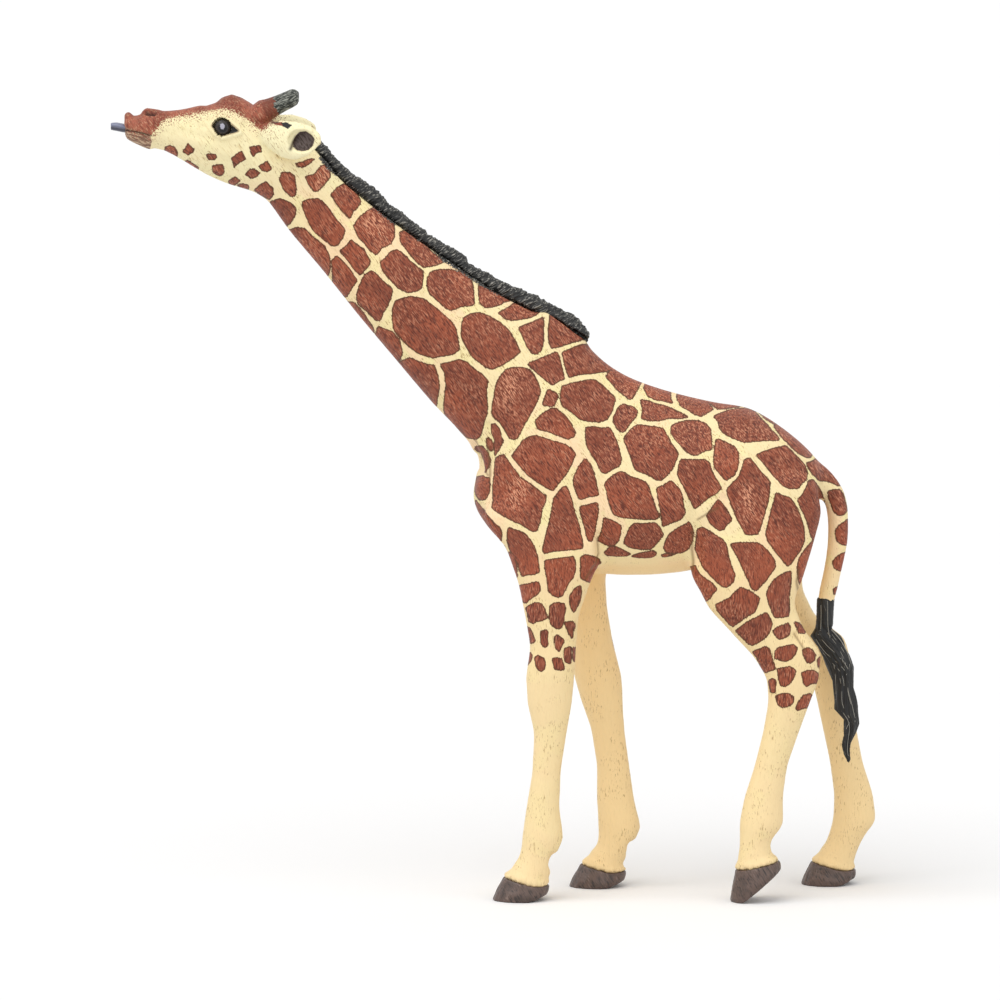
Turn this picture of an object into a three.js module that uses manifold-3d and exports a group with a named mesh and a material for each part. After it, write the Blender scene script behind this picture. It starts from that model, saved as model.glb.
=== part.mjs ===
// A giraffe figurine, browsing with its head stretched up and forward. It is a set of solid
// mouldings, glued into one another by pegs and sunk roots.
// Millimetres, +Z up. The nose points to -X, so the animal's left side faces -Y.
// The origin is on the ground, under the middle of the figure.
import * as THREE from "three";
import { mergeVertices } from "three/addons/utils/BufferGeometryUtils.js";
import Module from "manifold-3d";

const wasm = await Module();
wasm.setup();

// Every piece keeps this gap to the one that it is glued to.
const glueGap = 0.3;

// Pegs.
const neckPeg = { radius: 6, length: 9 };
const headPeg = { radius: 2.8, length: 5 };
const legPeg = { radius: 2.4, length: 6 };
const hoofPeg = { radius: 1.5, length: 2.6 };
const tuftPeg = { radius: 0.9, length: 3 };
const pegSides = 14;

// Rings of the animal from nose to tail head. Each has its top and bottom point in the side view,
// half its width, and how much heavier it is low down than high up.
const form = [
  { top: [-79.2, 167.6], low: [-79.2, 164.9], half: 1.4, heavy: 0 }, // nose
  { top: [-78.6, 168.9], low: [-78.6, 163.9], half: 2.9, heavy: 0 },
  { top: [-76.7, 169], low: [-76.4, 162.6], half: 3.6, heavy: 0 }, // lips
  { top: [-74.4, 169.8], low: [-73.9, 161.6], half: 4, heavy: -0.05 }, // nostrils
  { top: [-71.4, 169.4], low: [-70.6, 160.9], half: 3.9, heavy: -0.08 },
  { top: [-67.3, 169.7], low: [-66.4, 158.6], half: 4.2, heavy: -0.12 },
  { top: [-63.6, 170.5], low: [-61.9, 155.9], half: 5, heavy: -0.16 },
  { top: [-59.8, 171.5], low: [-57.7, 154], half: 5.9, heavy: -0.18 }, // eyes
  { top: [-56.2, 173], low: [-54.6, 153], half: 6.4, heavy: -0.14 }, // brow
  { top: [-51.8, 170.9], low: [-52, 152.2], half: 6.6, heavy: -0.08 }, // jaw
  { top: [-46.6, 166.8], low: [-50.6, 151.5], half: 6.4, heavy: -0.02 },
  { top: [-41.8, 164.4], low: [-49.7, 150.9], half: 5.9, heavy: 0 }, // poll
  { top: [-37, 161], low: [-48.1, 149.5], half: 5.5, heavy: 0 },
  { top: [-32, 155.1], low: [-43.8, 143.4], half: 5.4, heavy: 0 },
  { top: [-23.5, 148.2], low: [-37, 135.3], half: 5.8, heavy: 0 },
  { top: [-14.9, 141.8], low: [-29.5, 125.8], half: 6.5, heavy: 0 },
  { top: [-6.3, 135.8], low: [-21.4, 116.1], half: 7.3, heavy: 0 },
  { top: [2.3, 130.2], low: [-13.4, 106.6], half: 8.4, heavy: 0.02 },
  { top: [11, 125.7], low: [-5.3, 97.8], half: 9.8, heavy: 0.04 },
  { top: [19.3, 119.5], low: [-3.9, 91.6], half: 11.3, heavy: 0.08 }, // withers
  { top: [23.4, 115.8], low: [-4.7, 86], half: 12.3, heavy: 0.12 },
  { top: [27, 113.3], low: [-1.4, 79.6], half: 13, heavy: 0.14 }, // chest
  { top: [31, 111.4], low: [7.5, 72], half: 13.5, heavy: 0.14 },
  { top: [36.5, 109.5], low: [21, 69.7], half: 14, heavy: 0.12 }, // barrel
  { top: [42.5, 107.9], low: [34, 69.4], half: 14.2, heavy: 0.1 },
  { top: [48.5, 106.6], low: [44.5, 70.8], half: 14, heavy: 0.06 }, // loin
  { top: [54.5, 105.6], low: [52.5, 73.6], half: 13.4, heavy: 0.02 },
  { top: [60.3, 102.4], low: [60, 77.5], half: 12, heavy: 0 }, // croup
  { top: [65.7, 98.2], low: [66, 81.5], half: 9.4, heavy: 0 },
  { top: [69.4, 94.4], low: [69.6, 86], half: 6, heavy: 0 },
  { top: [71, 91.6], low: [71.1, 89.2], half: 2, heavy: 0 }, // tail head
];
const formSides = 24;
const formRingsPerSpan = 2;

// The head and the neck are each glued on along a plane across these two points.
const headSeam = { top: [-39, 162.5], low: [-49.6, 150.4] };
const neckSeam = { top: [18.4, 120], low: [-4.1, 90.4] };

// The mouth is a slit from the lips to the corner of the mouth.
const mouth = { front: [-80.5, 166.3], corner: [-74, 164.2], gap: 0.45 };

// The legs are glued on along one level plane, just under the belly.
const legSeamHeight = 68;

// Rings of the legs, from the shoulder or hip down to the hoof: front and rear point in the side
// view, how far out the middle is, and half the width there.
const foreShoulder = { out: 8.1, half: 5.9 };
const hindThigh = { out: 8, half: 6.6 };
const leftForeleg = [
  { front: [7, 98], rear: [22, 99], out: 6, half: 4 },
  { front: [0.5, 90], rear: [27, 91], out: 7.6, half: 5.4 },
  { front: [-2.6, 83], rear: [26.5, 82], ...foreShoulder },
  { front: [2.4, 76], rear: [24, 75.5], out: 8.8, half: 5.7 },
  { front: [4.8, 69.4], rear: [20.9, 69.4], out: 9, half: 5 }, // elbow
  { front: [6.5, 61.5], rear: [18.1, 61.5], out: 9, half: 4.3 },
  { front: [7.6, 55], rear: [17.6, 55], out: 9, half: 4.1 },
  { front: [6.7, 48.5], rear: [17.2, 48.5], out: 9, half: 4.2 }, // knee
  { front: [7, 42.8], rear: [16.7, 42.8], out: 9, half: 3.7 },
  { front: [8.4, 36.5], rear: [15.6, 36.5], out: 9, half: 3 },
  { front: [8.1, 28], rear: [14.3, 28], out: 9, half: 2.8 }, // cannon
  { front: [6.8, 20], rear: [14, 20], out: 9, half: 3.2 },
  { front: [5.9, 13.6], rear: [14.9, 13.4], out: 9, half: 3.8 }, // fetlock
  { front: [5.6, 10.2], rear: [13.3, 9.8], out: 9, half: 3.5 },
  { front: [4.1, 7.4], rear: [11.8, 6.2], out: 9, half: 3.6 }, // pastern
  { front: [2.2, 5.2], rear: [11.6, 3.2], out: 9, half: 4.1 }, // coronet
];
const rightForeleg = [
  { front: [8, 98], rear: [23, 99], out: 6, half: 4 },
  { front: [1.5, 90], rear: [28, 91], out: 7.6, half: 5.4 },
  { front: [-2.8, 84], rear: [27.5, 82], ...foreShoulder },
  { front: [3.5, 76.5], rear: [26.5, 75], out: 8.8, half: 5.7 },
  { front: [12, 68.4], rear: [24.1, 67.6], out: 9, half: 5 },
  { front: [15.2, 61.5], rear: [24.5, 61], out: 9, half: 4.3 },
  { front: [16.5, 54.2], rear: [25.7, 53.8], out: 9, half: 4.1 },
  { front: [17.1, 46.6], rear: [27.7, 45.8], out: 9, half: 4.2 },
  { front: [18.6, 41.2], rear: [27.9, 40.6], out: 9, half: 3.7 },
  { front: [20.9, 34.6], rear: [28.3, 34.2], out: 9, half: 3 },
  { front: [22.2, 26.4], rear: [29.4, 26.2], out: 9, half: 2.8 },
  { front: [22.2, 19], rear: [30.5, 18.6], out: 9, half: 3.2 },
  { front: [22.5, 13.2], rear: [31.9, 13], out: 9, half: 3.8 },
  { front: [22.6, 9.8], rear: [30.2, 9.2], out: 9, half: 3.5 },
  { front: [20.8, 7.2], rear: [27.8, 6], out: 9, half: 3.6 },
  { front: [19, 5.1], rear: [28.4, 3.3], out: 9, half: 4.1 },
];
const leftHindLeg = [
  { front: [49, 98], rear: [63.5, 95.5], out: 5.6, half: 4 },
  { front: [44, 91.5], rear: [69.4, 89.5], out: 7.4, half: 6.1 },
  { front: [41.4, 84.5], rear: [70.2, 83.5], ...hindThigh },
  { front: [40.7, 77.5], rear: [68.4, 76.8], out: 8.8, half: 6.5 },
  { front: [42, 70.4], rear: [66.4, 70.4], out: 9.6, half: 5.8 },
  { front: [45.8, 63.4], rear: [64.3, 64.6], out: 10.1, half: 4.9 }, // gaskin
  { front: [51, 57.8], rear: [66.2, 59.4], out: 10.4, half: 4.4 },
  { front: [55.6, 52.8], rear: [70.1, 53.8], out: 10.5, half: 4.3 }, // hock
  { front: [58.3, 48.3], rear: [69.6, 48], out: 10.5, half: 4.1 },
  { front: [58.7, 43.4], rear: [67.7, 43], out: 10.5, half: 3.7 },
  { front: [57.6, 36.8], rear: [65.4, 36.6], out: 10.5, half: 3.1 },
  { front: [55.8, 29.4], rear: [62.9, 29.2], out: 10.5, half: 2.9 }, // cannon
  { front: [53.6, 22.4], rear: [62, 22.2], out: 10.5, half: 3.3 },
  { front: [52.6, 17], rear: [62.1, 16.6], out: 10.5, half: 3.8 }, // fetlock
  { front: [52.7, 13], rear: [59.3, 12.8], out: 10.5, half: 3.4 },
  { front: [52.5, 10], rear: [59.4, 10.4], out: 10.5, half: 3.4 }, // pastern
  { front: [51.9, 7], rear: [61, 9], out: 10.5, half: 4 }, // coronet
];
const rightHindLeg = [
  { front: [50, 98], rear: [64, 95.5], out: 5.6, half: 4 },
  { front: [46, 91.5], rear: [69.8, 89.5], out: 7.4, half: 6.1 },
  { front: [45, 84.5], rear: [70.6, 83.5], ...hindThigh },
  { front: [46.5, 77.5], rear: [68.9, 76.6], out: 9.2, half: 6.4 },
  { front: [50.5, 70.4], rear: [67, 70.4], out: 10.2, half: 5.7 },
  { front: [55.4, 64], rear: [66.9, 65], out: 11, half: 4.9 },
  { front: [60, 57.8], rear: [69.6, 59.2], out: 11.6, half: 4.4 },
  { front: [64.6, 52.2], rear: [76.2, 54], out: 12, half: 4.3 },
  { front: [68.4, 47], rear: [78, 47.6], out: 12, half: 4.1 },
  { front: [69.8, 41.6], rear: [78.2, 41.6], out: 12, half: 3.7 },
  { front: [71.3, 34.6], rear: [78.8, 34.4], out: 12, half: 3.1 },
  { front: [72.9, 27.2], rear: [80.2, 27], out: 12, half: 2.9 },
  { front: [73.9, 19.8], rear: [82.5, 19.8], out: 12, half: 3.3 },
  { front: [73.7, 14], rear: [83.2, 14], out: 12, half: 3.8 },
  { front: [72.4, 9.6], rear: [79.8, 9.4], out: 12, half: 3.4 },
  { front: [70.9, 7.3], rear: [78.4, 6.4], out: 12, half: 3.5 },
  { front: [69.3, 5.2], rear: [78.6, 3.2], out: 12, half: 4 },
];
const legSides = 16;
const legRingsPerSpan = 1;

// Soles of the hooves, from toe to heel. The left hind foot stands on its toe.
const soles = {
  left_fore: { toe: [-0.5, 0], heel: [11.4, 0] },
  right_fore: { toe: [16.1, 0], heel: [28.2, 0] },
  left_hind: { toe: [50.4, -2.4], heel: [61.6, 6.9] },
  right_hind: { toe: [66.8, 0], heel: [78.6, 0] },
};
const hoof = { halfWidth: 4.7, lip: 0.25, bulge: 0.45, bulgeAt: 0.7, sides: 18 };
const cleft = { width: 0.8, depth: 3.6 };

// The mane rises from a groove along the crest of the neck, and stands up highest at the withers.
const mane = { rise: 1.9, rearRise: 4.2, seat: 1.3, halfWidth: 1.7, sides: 10, ringsPerSpan: 2 };

// Horns, from the root in the skull to the tip: how far back, how far out, how high, and radius.
const horn = [
  { at: [-52.6, 3, 166.6], radius: 2.2 },
  { at: [-50.2, 3, 168.9], radius: 2.5 },
  { at: [-48.2, 3.1, 169.8], radius: 2.2 },
  { at: [-45.8, 3.2, 171], radius: 1.85 },
  { at: [-43.6, 3.4, 172], radius: 1.75 },
  { at: [-42.4, 3.5, 172.5], radius: 1.4 },
  { at: [-41.8, 3.5, 172.8], radius: 0.6 },
];
const hornSides = 12;
const hornSpans = 9;

// Ears, from root to tip: upper and lower edge in the side view, how far out, half the thickness.
const ear = [
  { front: [-51.4, 166.4], rear: [-50.6, 163.2], out: 4.9, half: 1.3 },
  { front: [-48.6, 167.3], rear: [-48.2, 161.6], out: 6.4, half: 1.8 },
  { front: [-45.4, 167.9], rear: [-45.4, 159.9], out: 8, half: 2 },
  { front: [-41.8, 167.8], rear: [-42.4, 159.4], out: 9.7, half: 1.9 },
  { front: [-39, 166.9], rear: [-39.6, 160.4], out: 11, half: 1.4 },
  { front: [-37.2, 165.6], rear: [-37.7, 162.2], out: 11.8, half: 0.8 },
  { front: [-36.6, 164.4], rear: [-36.7, 163.8], out: 12.1, half: 0.3 },
];
const earSides = 14;
// The head is turned a little, which sets the right ear further forward.
const earShift = { left: [0, 0], right: [-1.7, 0.3] };
const ballFaces = [14, 10];
const earCup = { at: [-41, 163.7], out: 11.8, radii: [3.4, 2.2, 2.7] };

const eye = { at: [-57.9, 4.7, 166.2], radius: 2.1 };

// Tongue, from its root in the mouth to the tip.
const tongue = [
  { front: [-75, 165.3], rear: [-75, 164.1], half: 1.3 },
  { front: [-78, 166.1], rear: [-78, 164.8], half: 1.6 },
  { front: [-80.8, 166.7], rear: [-80.8, 165.4], half: 1.4 },
  { front: [-82.2, 166.6], rear: [-82.2, 165.7], half: 0.8 },
  { front: [-82.6, 166.3], rear: [-82.6, 166], half: 0.2 },
];
const tongueSides = 10;

// Tail: middle line and radius, from its root in the rump to the tuft's root.
const tail = [
  { at: [65.5, 93.8], radius: 2.3 },
  { at: [69.6, 91], radius: 2.6 },
  { at: [73, 86.6], radius: 2.5 },
  { at: [73.9, 82.2], radius: 2.3 },
  { at: [74, 77.9], radius: 2.25 },
  { at: [73.5, 73.6], radius: 2.05 },
  { at: [72.5, 68.7], radius: 1.95 },
  { at: [71.4, 63.6], radius: 1.75 },
];
const tailSides = 12;
const tailSpans = 14;
const tuft = [
  { front: [69.7, 63.3], rear: [73.1, 63.3], half: 1.7 },
  { front: [69.3, 60], rear: [72.7, 60], half: 1.7 },
  { front: [68.8, 57.2], rear: [73, 57.2], half: 1.9 },
  { front: [68.2, 54.8], rear: [75.9, 55], half: 2.4 },
  { front: [69, 50.6], rear: [76.6, 50.8], half: 2.7 },
  { front: [70.3, 46], rear: [77.1, 46], half: 2.6 },
  { front: [72.3, 41], rear: [77.5, 41], half: 2.3 },
  { front: [74.4, 37.4], rear: [78.2, 37.4], half: 1.9 },
  { front: [75.1, 33.6], rear: [78, 33.6], half: 1.4 },
  { front: [75.2, 30.6], rear: [77.2, 30.4], half: 0.9 },
  { front: [75.5, 28], rear: [76.3, 28], half: 0.4 },
];
const tuftSides = 12;

// Paint.
const cream = new THREE.MeshStandardMaterial({ color: 0xf6dfa6, roughness: 0.6 });
const black = new THREE.MeshStandardMaterial({ color: 0x2b2b2b, roughness: 0.55 });
const redBrown = new THREE.MeshStandardMaterial({ color: 0x8a4a38, roughness: 0.6 });
const hoofBrown = new THREE.MeshStandardMaterial({ color: 0x5c504a, roughness: 0.5 });
const glossBlack = new THREE.MeshStandardMaterial({ color: 0x151515, roughness: 0.12 });
const tongueGrey = new THREE.MeshStandardMaterial({ color: 0x6d7088, roughness: 0.35 });

// Cutters for slits are longer than any piece is wide, and those for seams are larger than the
// figure.
const acrossAll = 4 * Math.max(...form.map(({ half }) => half));
const beyondAll = 4 * Math.max(...form.map(({ top }) => top[1]));

const left = -1;
const right = 1;
const up = new THREE.Vector3(0, 0, 1);
const down = new THREE.Vector3(0, 0, -1);
const place = ([x, z], y = 0) => new THREE.Vector3(x, y, z);
const outward = ([x, out, z], side) => new THREE.Vector3(x, out * side, z);
const through = (points) => new THREE.CatmullRomCurve3(points, false, "catmullrom", 0.5);

// Joins rings of points into one closed surface with flat ends.
function skin(rings) {
  const sides = rings[0].length;
  const last = (rings.length - 1) * sides;
  const faces = [];
  for (let i = 0; i < last; i += sides) {
    for (let j = 0; j < sides; j++) {
      const a = i + j;
      const b = i + ((j + 1) % sides);
      faces.push(a, b, b + sides, a, b + sides, a + sides);
    }
  }
  for (let j = 1; j + 1 < sides; j++) {
    faces.push(0, j + 1, j, last, last + j, last + j + 1);
  }
  return new THREE.BufferGeometry().setFromPoints(rings.flat()).setIndex(faces);
}

// Above zero where a surface's faces point out.
function signedVolume(geometry) {
  const at = geometry.getAttribute("position");
  const corner = (i) => new THREE.Vector3().fromBufferAttribute(at, geometry.index.array[i]);
  let sum = 0;
  for (let i = 0; i < geometry.index.count; i += 3) {
    sum += corner(i).dot(corner(i + 1).cross(corner(i + 2)));
  }
  return sum;
}

// A closed geometry as a solid that can be cut and joined.
function solid(geometry) {
  geometry.deleteAttribute("normal");
  geometry.deleteAttribute("uv");
  const merged = mergeVertices(geometry, 1e-4);
  const triVerts = new Uint32Array(merged.index.array);
  if (signedVolume(merged) < 0) {
    triVerts.reverse();
  }
  const vertProperties = merged.getAttribute("position").array;
  return new wasm.Manifold(new wasm.Mesh({ numProp: 3, vertProperties, triVerts }));
}

// A ring round the line from one edge point to the other. It is oval and may be heavier towards
// the second edge. Growing pushes it out all round.
function ring(first, second, y, half, heavy, sides, grow) {
  const middle = first.clone().add(second).multiplyScalar(0.5);
  const reach = first.clone().sub(second).multiplyScalar(0.5);
  reach.setLength(reach.length() + grow);
  return Array.from({ length: sides }, (_, j) => {
    const turn = (2 * Math.PI * j) / sides;
    const across = (half + grow) * Math.sin(turn) * (1 - heavy * Math.cos(turn));
    return middle.clone().addScaledVector(reach, Math.cos(turn)).setY(y + across);
  });
}

// A solid through a table of rings, which have top and low edges, or front and rear ones. A grown
// one is also longer by that much at each end.
function loft(table, { side = 0, sides, ringsPerSpan = 1, grow = 0 }) {
  const first = through(table.map((row) => place(row.top ?? row.front)));
  const second = through(table.map((row) => place(row.low ?? row.rear)));
  const shape = through(
    table.map((row) => new THREE.Vector3(row.half, (row.out ?? 0) * side, row.heavy ?? 0)),
  );
  const spans = (table.length - 1) * ringsPerSpan;
  const rings = [];
  for (let i = 0; i <= spans; i++) {
    const t = i / spans;
    const { x: half, y, z: heavy } = shape.getPoint(t);
    rings.push(ring(first.getPoint(t), second.getPoint(t), y, half, heavy, sides, grow));
  }
  if (grow > 0) {
    const centre = (points) =>
      points.reduce((sum, p) => sum.add(p), new THREE.Vector3()).divideScalar(points.length);
    const shifted = (from, next) => {
      const step = centre(from).sub(centre(next)).setLength(grow);
      return from.map((p) => p.clone().add(step));
    };
    rings.unshift(shifted(rings[0], rings[1]));
    rings.push(shifted(rings.at(-1), rings.at(-2)));
  }
  return solid(skin(rings));
}

// A round bar through a table of middle points and radii.
function bar(table, { side = 0, sides, spans, grow = 0 }) {
  const at = (row) => (row.at.length === 2 ? place(row.at) : outward(row.at, side));
  const line = through(table.map(at));
  const size = through(table.map((row) => new THREE.Vector3(row.radius, 0, 0)));
  const rings = [];
  for (let i = 0; i <= spans; i++) {
    const t = i / spans;
    const along = line.getTangent(t);
    const rise = along.clone().cross(new THREE.Vector3(0, 1, 0)).normalize();
    const across = rise.clone().cross(along).normalize();
    const radius = size.getPoint(t).x + grow;
    const end = i === 0 ? -grow : i === spans ? grow : 0;
    const middle = line.getPoint(t).addScaledVector(along, end);
    rings.push(
      Array.from({ length: sides }, (_, j) => {
        const turn = (2 * Math.PI * j) / sides;
        return middle
          .clone()
          .addScaledVector(rise, radius * Math.cos(turn))
          .addScaledVector(across, radius * Math.sin(turn));
      }),
    );
  }
  return solid(skin(rings));
}

// A geometry made along +Y, set at a point and turned to a direction.
function set(geometry, middle, direction) {
  const turn = new THREE.Quaternion().setFromUnitVectors(new THREE.Vector3(0, 1, 0), direction);
  const size = new THREE.Vector3(1, 1, 1);
  return solid(geometry.applyMatrix4(new THREE.Matrix4().compose(middle, turn, size)));
}

// A peg out of a point of a seam, with its foot in the piece that it belongs to. Grown, it is the
// hole for that peg.
function peg({ radius, length }, start, direction, grow = 0) {
  const foot = radius / 2;
  const whole = foot + length + grow;
  const geometry = new THREE.CylinderGeometry(radius + grow, radius + grow, whole, pegSides);
  return set(geometry, start.clone().addScaledVector(direction, whole / 2 - foot), direction);
}

// All that lies past a plane, on the side that the direction points to.
function past(point, direction, shift = 0) {
  const geometry = new THREE.BoxGeometry(beyondAll, beyondAll, beyondAll);
  return set(geometry, point.clone().addScaledVector(direction, beyondAll / 2 + shift), direction);
}

// A seam plane across two points of the side view, facing back along the animal.
function seam({ top, low }) {
  const point = place(top).add(place(low)).multiplyScalar(0.5);
  const back = place(top).sub(place(low)).cross(new THREE.Vector3(0, -1, 0)).normalize();
  return { point, back, front: back.clone().negate() };
}

const pieces = [];
function keep(name, shape, material) {
  pieces.push({ name, shape, material });
}

// The animal before it is parted at its seams.
const legs = [
  { name: "left_foreleg", foot: "left_fore", side: left, table: leftForeleg },
  { name: "right_foreleg", foot: "right_fore", side: right, table: rightForeleg },
  { name: "left_hind_leg", foot: "left_hind", side: left, table: leftHindLeg },
  { name: "right_hind_leg", foot: "right_hind", side: right, table: rightHindLeg },
];
const whole = loft(form, { sides: formSides, ringsPerSpan: formRingsPerSpan });
for (const leg of legs) {
  leg.shape = loft(leg.table, { side: leg.side, sides: legSides, ringsPerSpan: legRingsPerSpan });
}

// Head, neck and trunk.
const poll = seam(headSeam);
const withers = seam(neckSeam);
let head = whole.intersect(past(poll.point, poll.front));
let neck = whole.intersect(past(poll.point, poll.back, glueGap));
neck = neck.intersect(past(withers.point, withers.front));
const behindNeck = past(withers.point, withers.back, glueGap);
let trunk = legs.reduce((sum, leg) => sum.add(leg.shape), whole).intersect(behindNeck);
head = head.add(peg(headPeg, poll.point, poll.back));
neck = neck.subtract(peg(headPeg, poll.point, poll.back, glueGap));
neck = neck.add(peg(neckPeg, withers.point, withers.back));
trunk = trunk.subtract(peg(neckPeg, withers.point, withers.back, glueGap));

// The mane runs from seam to seam, along the tops of the neck's rings.
function maneStrip(grow) {
  const start = form.findIndex(({ top }) => top[0] > headSeam.top[0]) - 1;
  const end = form.findIndex(({ top }) => top[0] > neckSeam.top[0]) + 2;
  const table = form.slice(start, end).map(({ top, low }, i) => {
    const outer = place(top).sub(place(low)).normalize();
    const edge = (reach) => place(top).addScaledVector(outer, reach);
    const rise = THREE.MathUtils.lerp(mane.rise, mane.rearRise, (i / (end - start - 1)) ** 4);
    const [crest, root] = [edge(rise), edge(-mane.seat)];
    return { top: [crest.x, crest.z], low: [root.x, root.z], half: mane.halfWidth };
  });
  const { sides, ringsPerSpan } = mane;
  return loft(table, { sides, ringsPerSpan, grow });
}
neck = neck.subtract(maneStrip(glueGap));
const hair = maneStrip(0).intersect(past(poll.point, poll.back, glueGap));
keep("mane", hair.intersect(past(withers.point, withers.front)), black);

// Legs under the seam, each with a peg up into the trunk.
trunk = trunk.subtract(past(new THREE.Vector3(0, 0, legSeamHeight), down, -glueGap));
for (const leg of legs) {
  const middle = through(
    leg.table.map(({ front, rear, out }) =>
      place(front, out * leg.side).lerp(place(rear, out * leg.side), 0.5),
    ),
  );
  let [above, below] = [0, 1];
  while (below - above > 1e-4) {
    const t = (above + below) / 2;
    [above, below] = middle.getPoint(t).z > legSeamHeight ? [t, below] : [above, t];
  }
  leg.top = middle.getPoint(above);
  leg.shape = leg.shape.intersect(past(leg.top, down)).add(peg(legPeg, leg.top, up));
  trunk = trunk.subtract(peg(legPeg, leg.top, up, glueGap));
}

// Hooves. Each follows the last ring of its leg, which sits on it with a lip all round, and has a
// peg up into the leg and a cleft at the toe.
const ground = past(new THREE.Vector3(0, 0, 0), up);
for (const leg of legs) {
  const { front, rear, out, half } = leg.table.at(-1);
  const { toe, heel } = soles[leg.foot];
  const across = place(rear).sub(place(front)).normalize();
  const upLeg = new THREE.Vector3(-across.z, 0, across.x);
  const edge = (point, outwards) =>
    place(point).addScaledVector(upLeg, -glueGap).addScaledVector(across, outwards);
  const blend = (share, swell) => {
    const a = edge(front, -hoof.lip - swell).lerp(place(toe), share);
    const b = edge(rear, hoof.lip + swell).lerp(place(heel), share);
    const wide = THREE.MathUtils.lerp(half + hoof.lip, hoof.halfWidth, share) + swell;
    return { front: [a.x, a.z], rear: [b.x, b.z], out, half: wide };
  };
  const table = [
    blend(0, 0),
    blend(hoof.bulgeAt / 2, hoof.bulge / 2),
    blend(hoof.bulgeAt, hoof.bulge),
    blend(1, 0),
  ];
  let block = loft(table, { side: leg.side, sides: hoof.sides, ringsPerSpan: 2 }).intersect(ground);
  const seat = edge(front, 0).lerp(edge(rear, 0), 0.5).setY(out * leg.side);
  leg.shape = leg.shape.subtract(peg(hoofPeg, seat, upLeg, glueGap));
  block = block.add(peg(hoofPeg, seat, upLeg));
  const slit = new THREE.BoxGeometry(2 * cleft.depth, acrossAll, cleft.width);
  const nose = edge(front, 0).lerp(place(toe), 0.5).setY(out * leg.side);
  slit.rotateX(Math.PI / 2).rotateY(Math.atan2(-across.z, across.x));
  slit.translate(nose.x, nose.y, nose.z);
  keep(`${leg.foot}_hoof`, block.subtract(solid(slit)), hoofBrown);
  keep(leg.name, leg.shape, cream);
}

// Ears, horns and eyes are sunk into sockets of the head, one on each side.
const hornForm = (side, grow) => bar(horn, { side, sides: hornSides, spans: hornSpans, grow });
const earMove = (side) => place(side === left ? earShift.left : earShift.right);
const earForm = (side, grow) =>
  loft(ear, { side, sides: earSides, grow }).translate(earMove(side).toArray());
function eyeForm(side, grow) {
  const ball = new THREE.SphereGeometry(eye.radius + grow, ...ballFaces);
  return solid(ball.translate(...outward(eye.at, side).toArray()));
}
function earHollow(side) {
  const { at, out, radii } = earCup;
  const root = outward([ear[0].front[0], ear[0].out, 0], side);
  const tip = outward([ear.at(-1).front[0], ear.at(-1).out, 0], side);
  const splay = tip.sub(root);
  const hollow = new THREE.SphereGeometry(1, ...ballFaces).scale(...radii);
  hollow.rotateZ(Math.atan2(splay.y, splay.x));
  return solid(hollow.translate(...place(at, out * side).add(earMove(side)).toArray()));
}
for (const [word, side] of [["left", left], ["right", right]]) {
  for (const form of [hornForm, earForm, eyeForm]) {
    head = head.subtract(form(side, glueGap));
  }
  keep(`${word}_ossicone`, hornForm(side, 0), redBrown);
  const leaf = earForm(side, 0).subtract(hornForm(side, glueGap));
  keep(`${word}_ear`, leaf.subtract(earHollow(side)), cream);
  keep(`${word}_eye`, eyeForm(side, 0), glossBlack);
}

// Mouth and tongue.
const tongueForm = (grow) => loft(tongue, { sides: tongueSides, ringsPerSpan: 2, grow });
const lips = place(mouth.front).sub(place(mouth.corner));
const slit = new THREE.BoxGeometry(2 * lips.length(), acrossAll, mouth.gap);
slit.rotateY(Math.atan2(lips.z, -lips.x));
slit.translate(mouth.corner[0] + lips.x, 0, mouth.corner[1] + lips.z);
head = head.subtract(solid(slit)).subtract(tongueForm(glueGap));
keep("tongue", tongueForm(0), tongueGrey);

// Tail and tuft. The tail's root is sunk into the rump, and its end is plugged into the tuft.
const tailForm = (grow) => bar(tail, { sides: tailSides, spans: tailSpans, grow });
const tailEnd = place(tail.at(-1).at);
trunk = trunk.subtract(tailForm(glueGap));
keep("tail", tailForm(0).add(peg(tuftPeg, tailEnd, down)), cream);
const tuftForm = loft(tuft, { sides: tuftSides }).intersect(past(tailEnd, down, glueGap));
keep("tail_tuft", tuftForm.subtract(peg(tuftPeg, tailEnd, down, glueGap)), black);

keep("head", head, cream);
keep("neck", neck, cream);
keep("trunk", trunk, cream);

const giraffe = new THREE.Group();
for (const { name, shape, material } of pieces) {
  const { vertProperties, triVerts } = shape.getMesh();
  const geometry = new THREE.BufferGeometry();
  geometry.setAttribute("position", new THREE.BufferAttribute(vertProperties, 3));
  geometry.setIndex(new THREE.BufferAttribute(triVerts, 1));
  geometry.computeVertexNormals();
  const mesh = new THREE.Mesh(geometry, material);
  mesh.name = name;
  giraffe.add(mesh);
}
export default giraffe;
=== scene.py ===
import math

import bpy
import numpy as np
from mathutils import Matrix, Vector, noise
from mathutils.bvhtree import BVHTree


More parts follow.
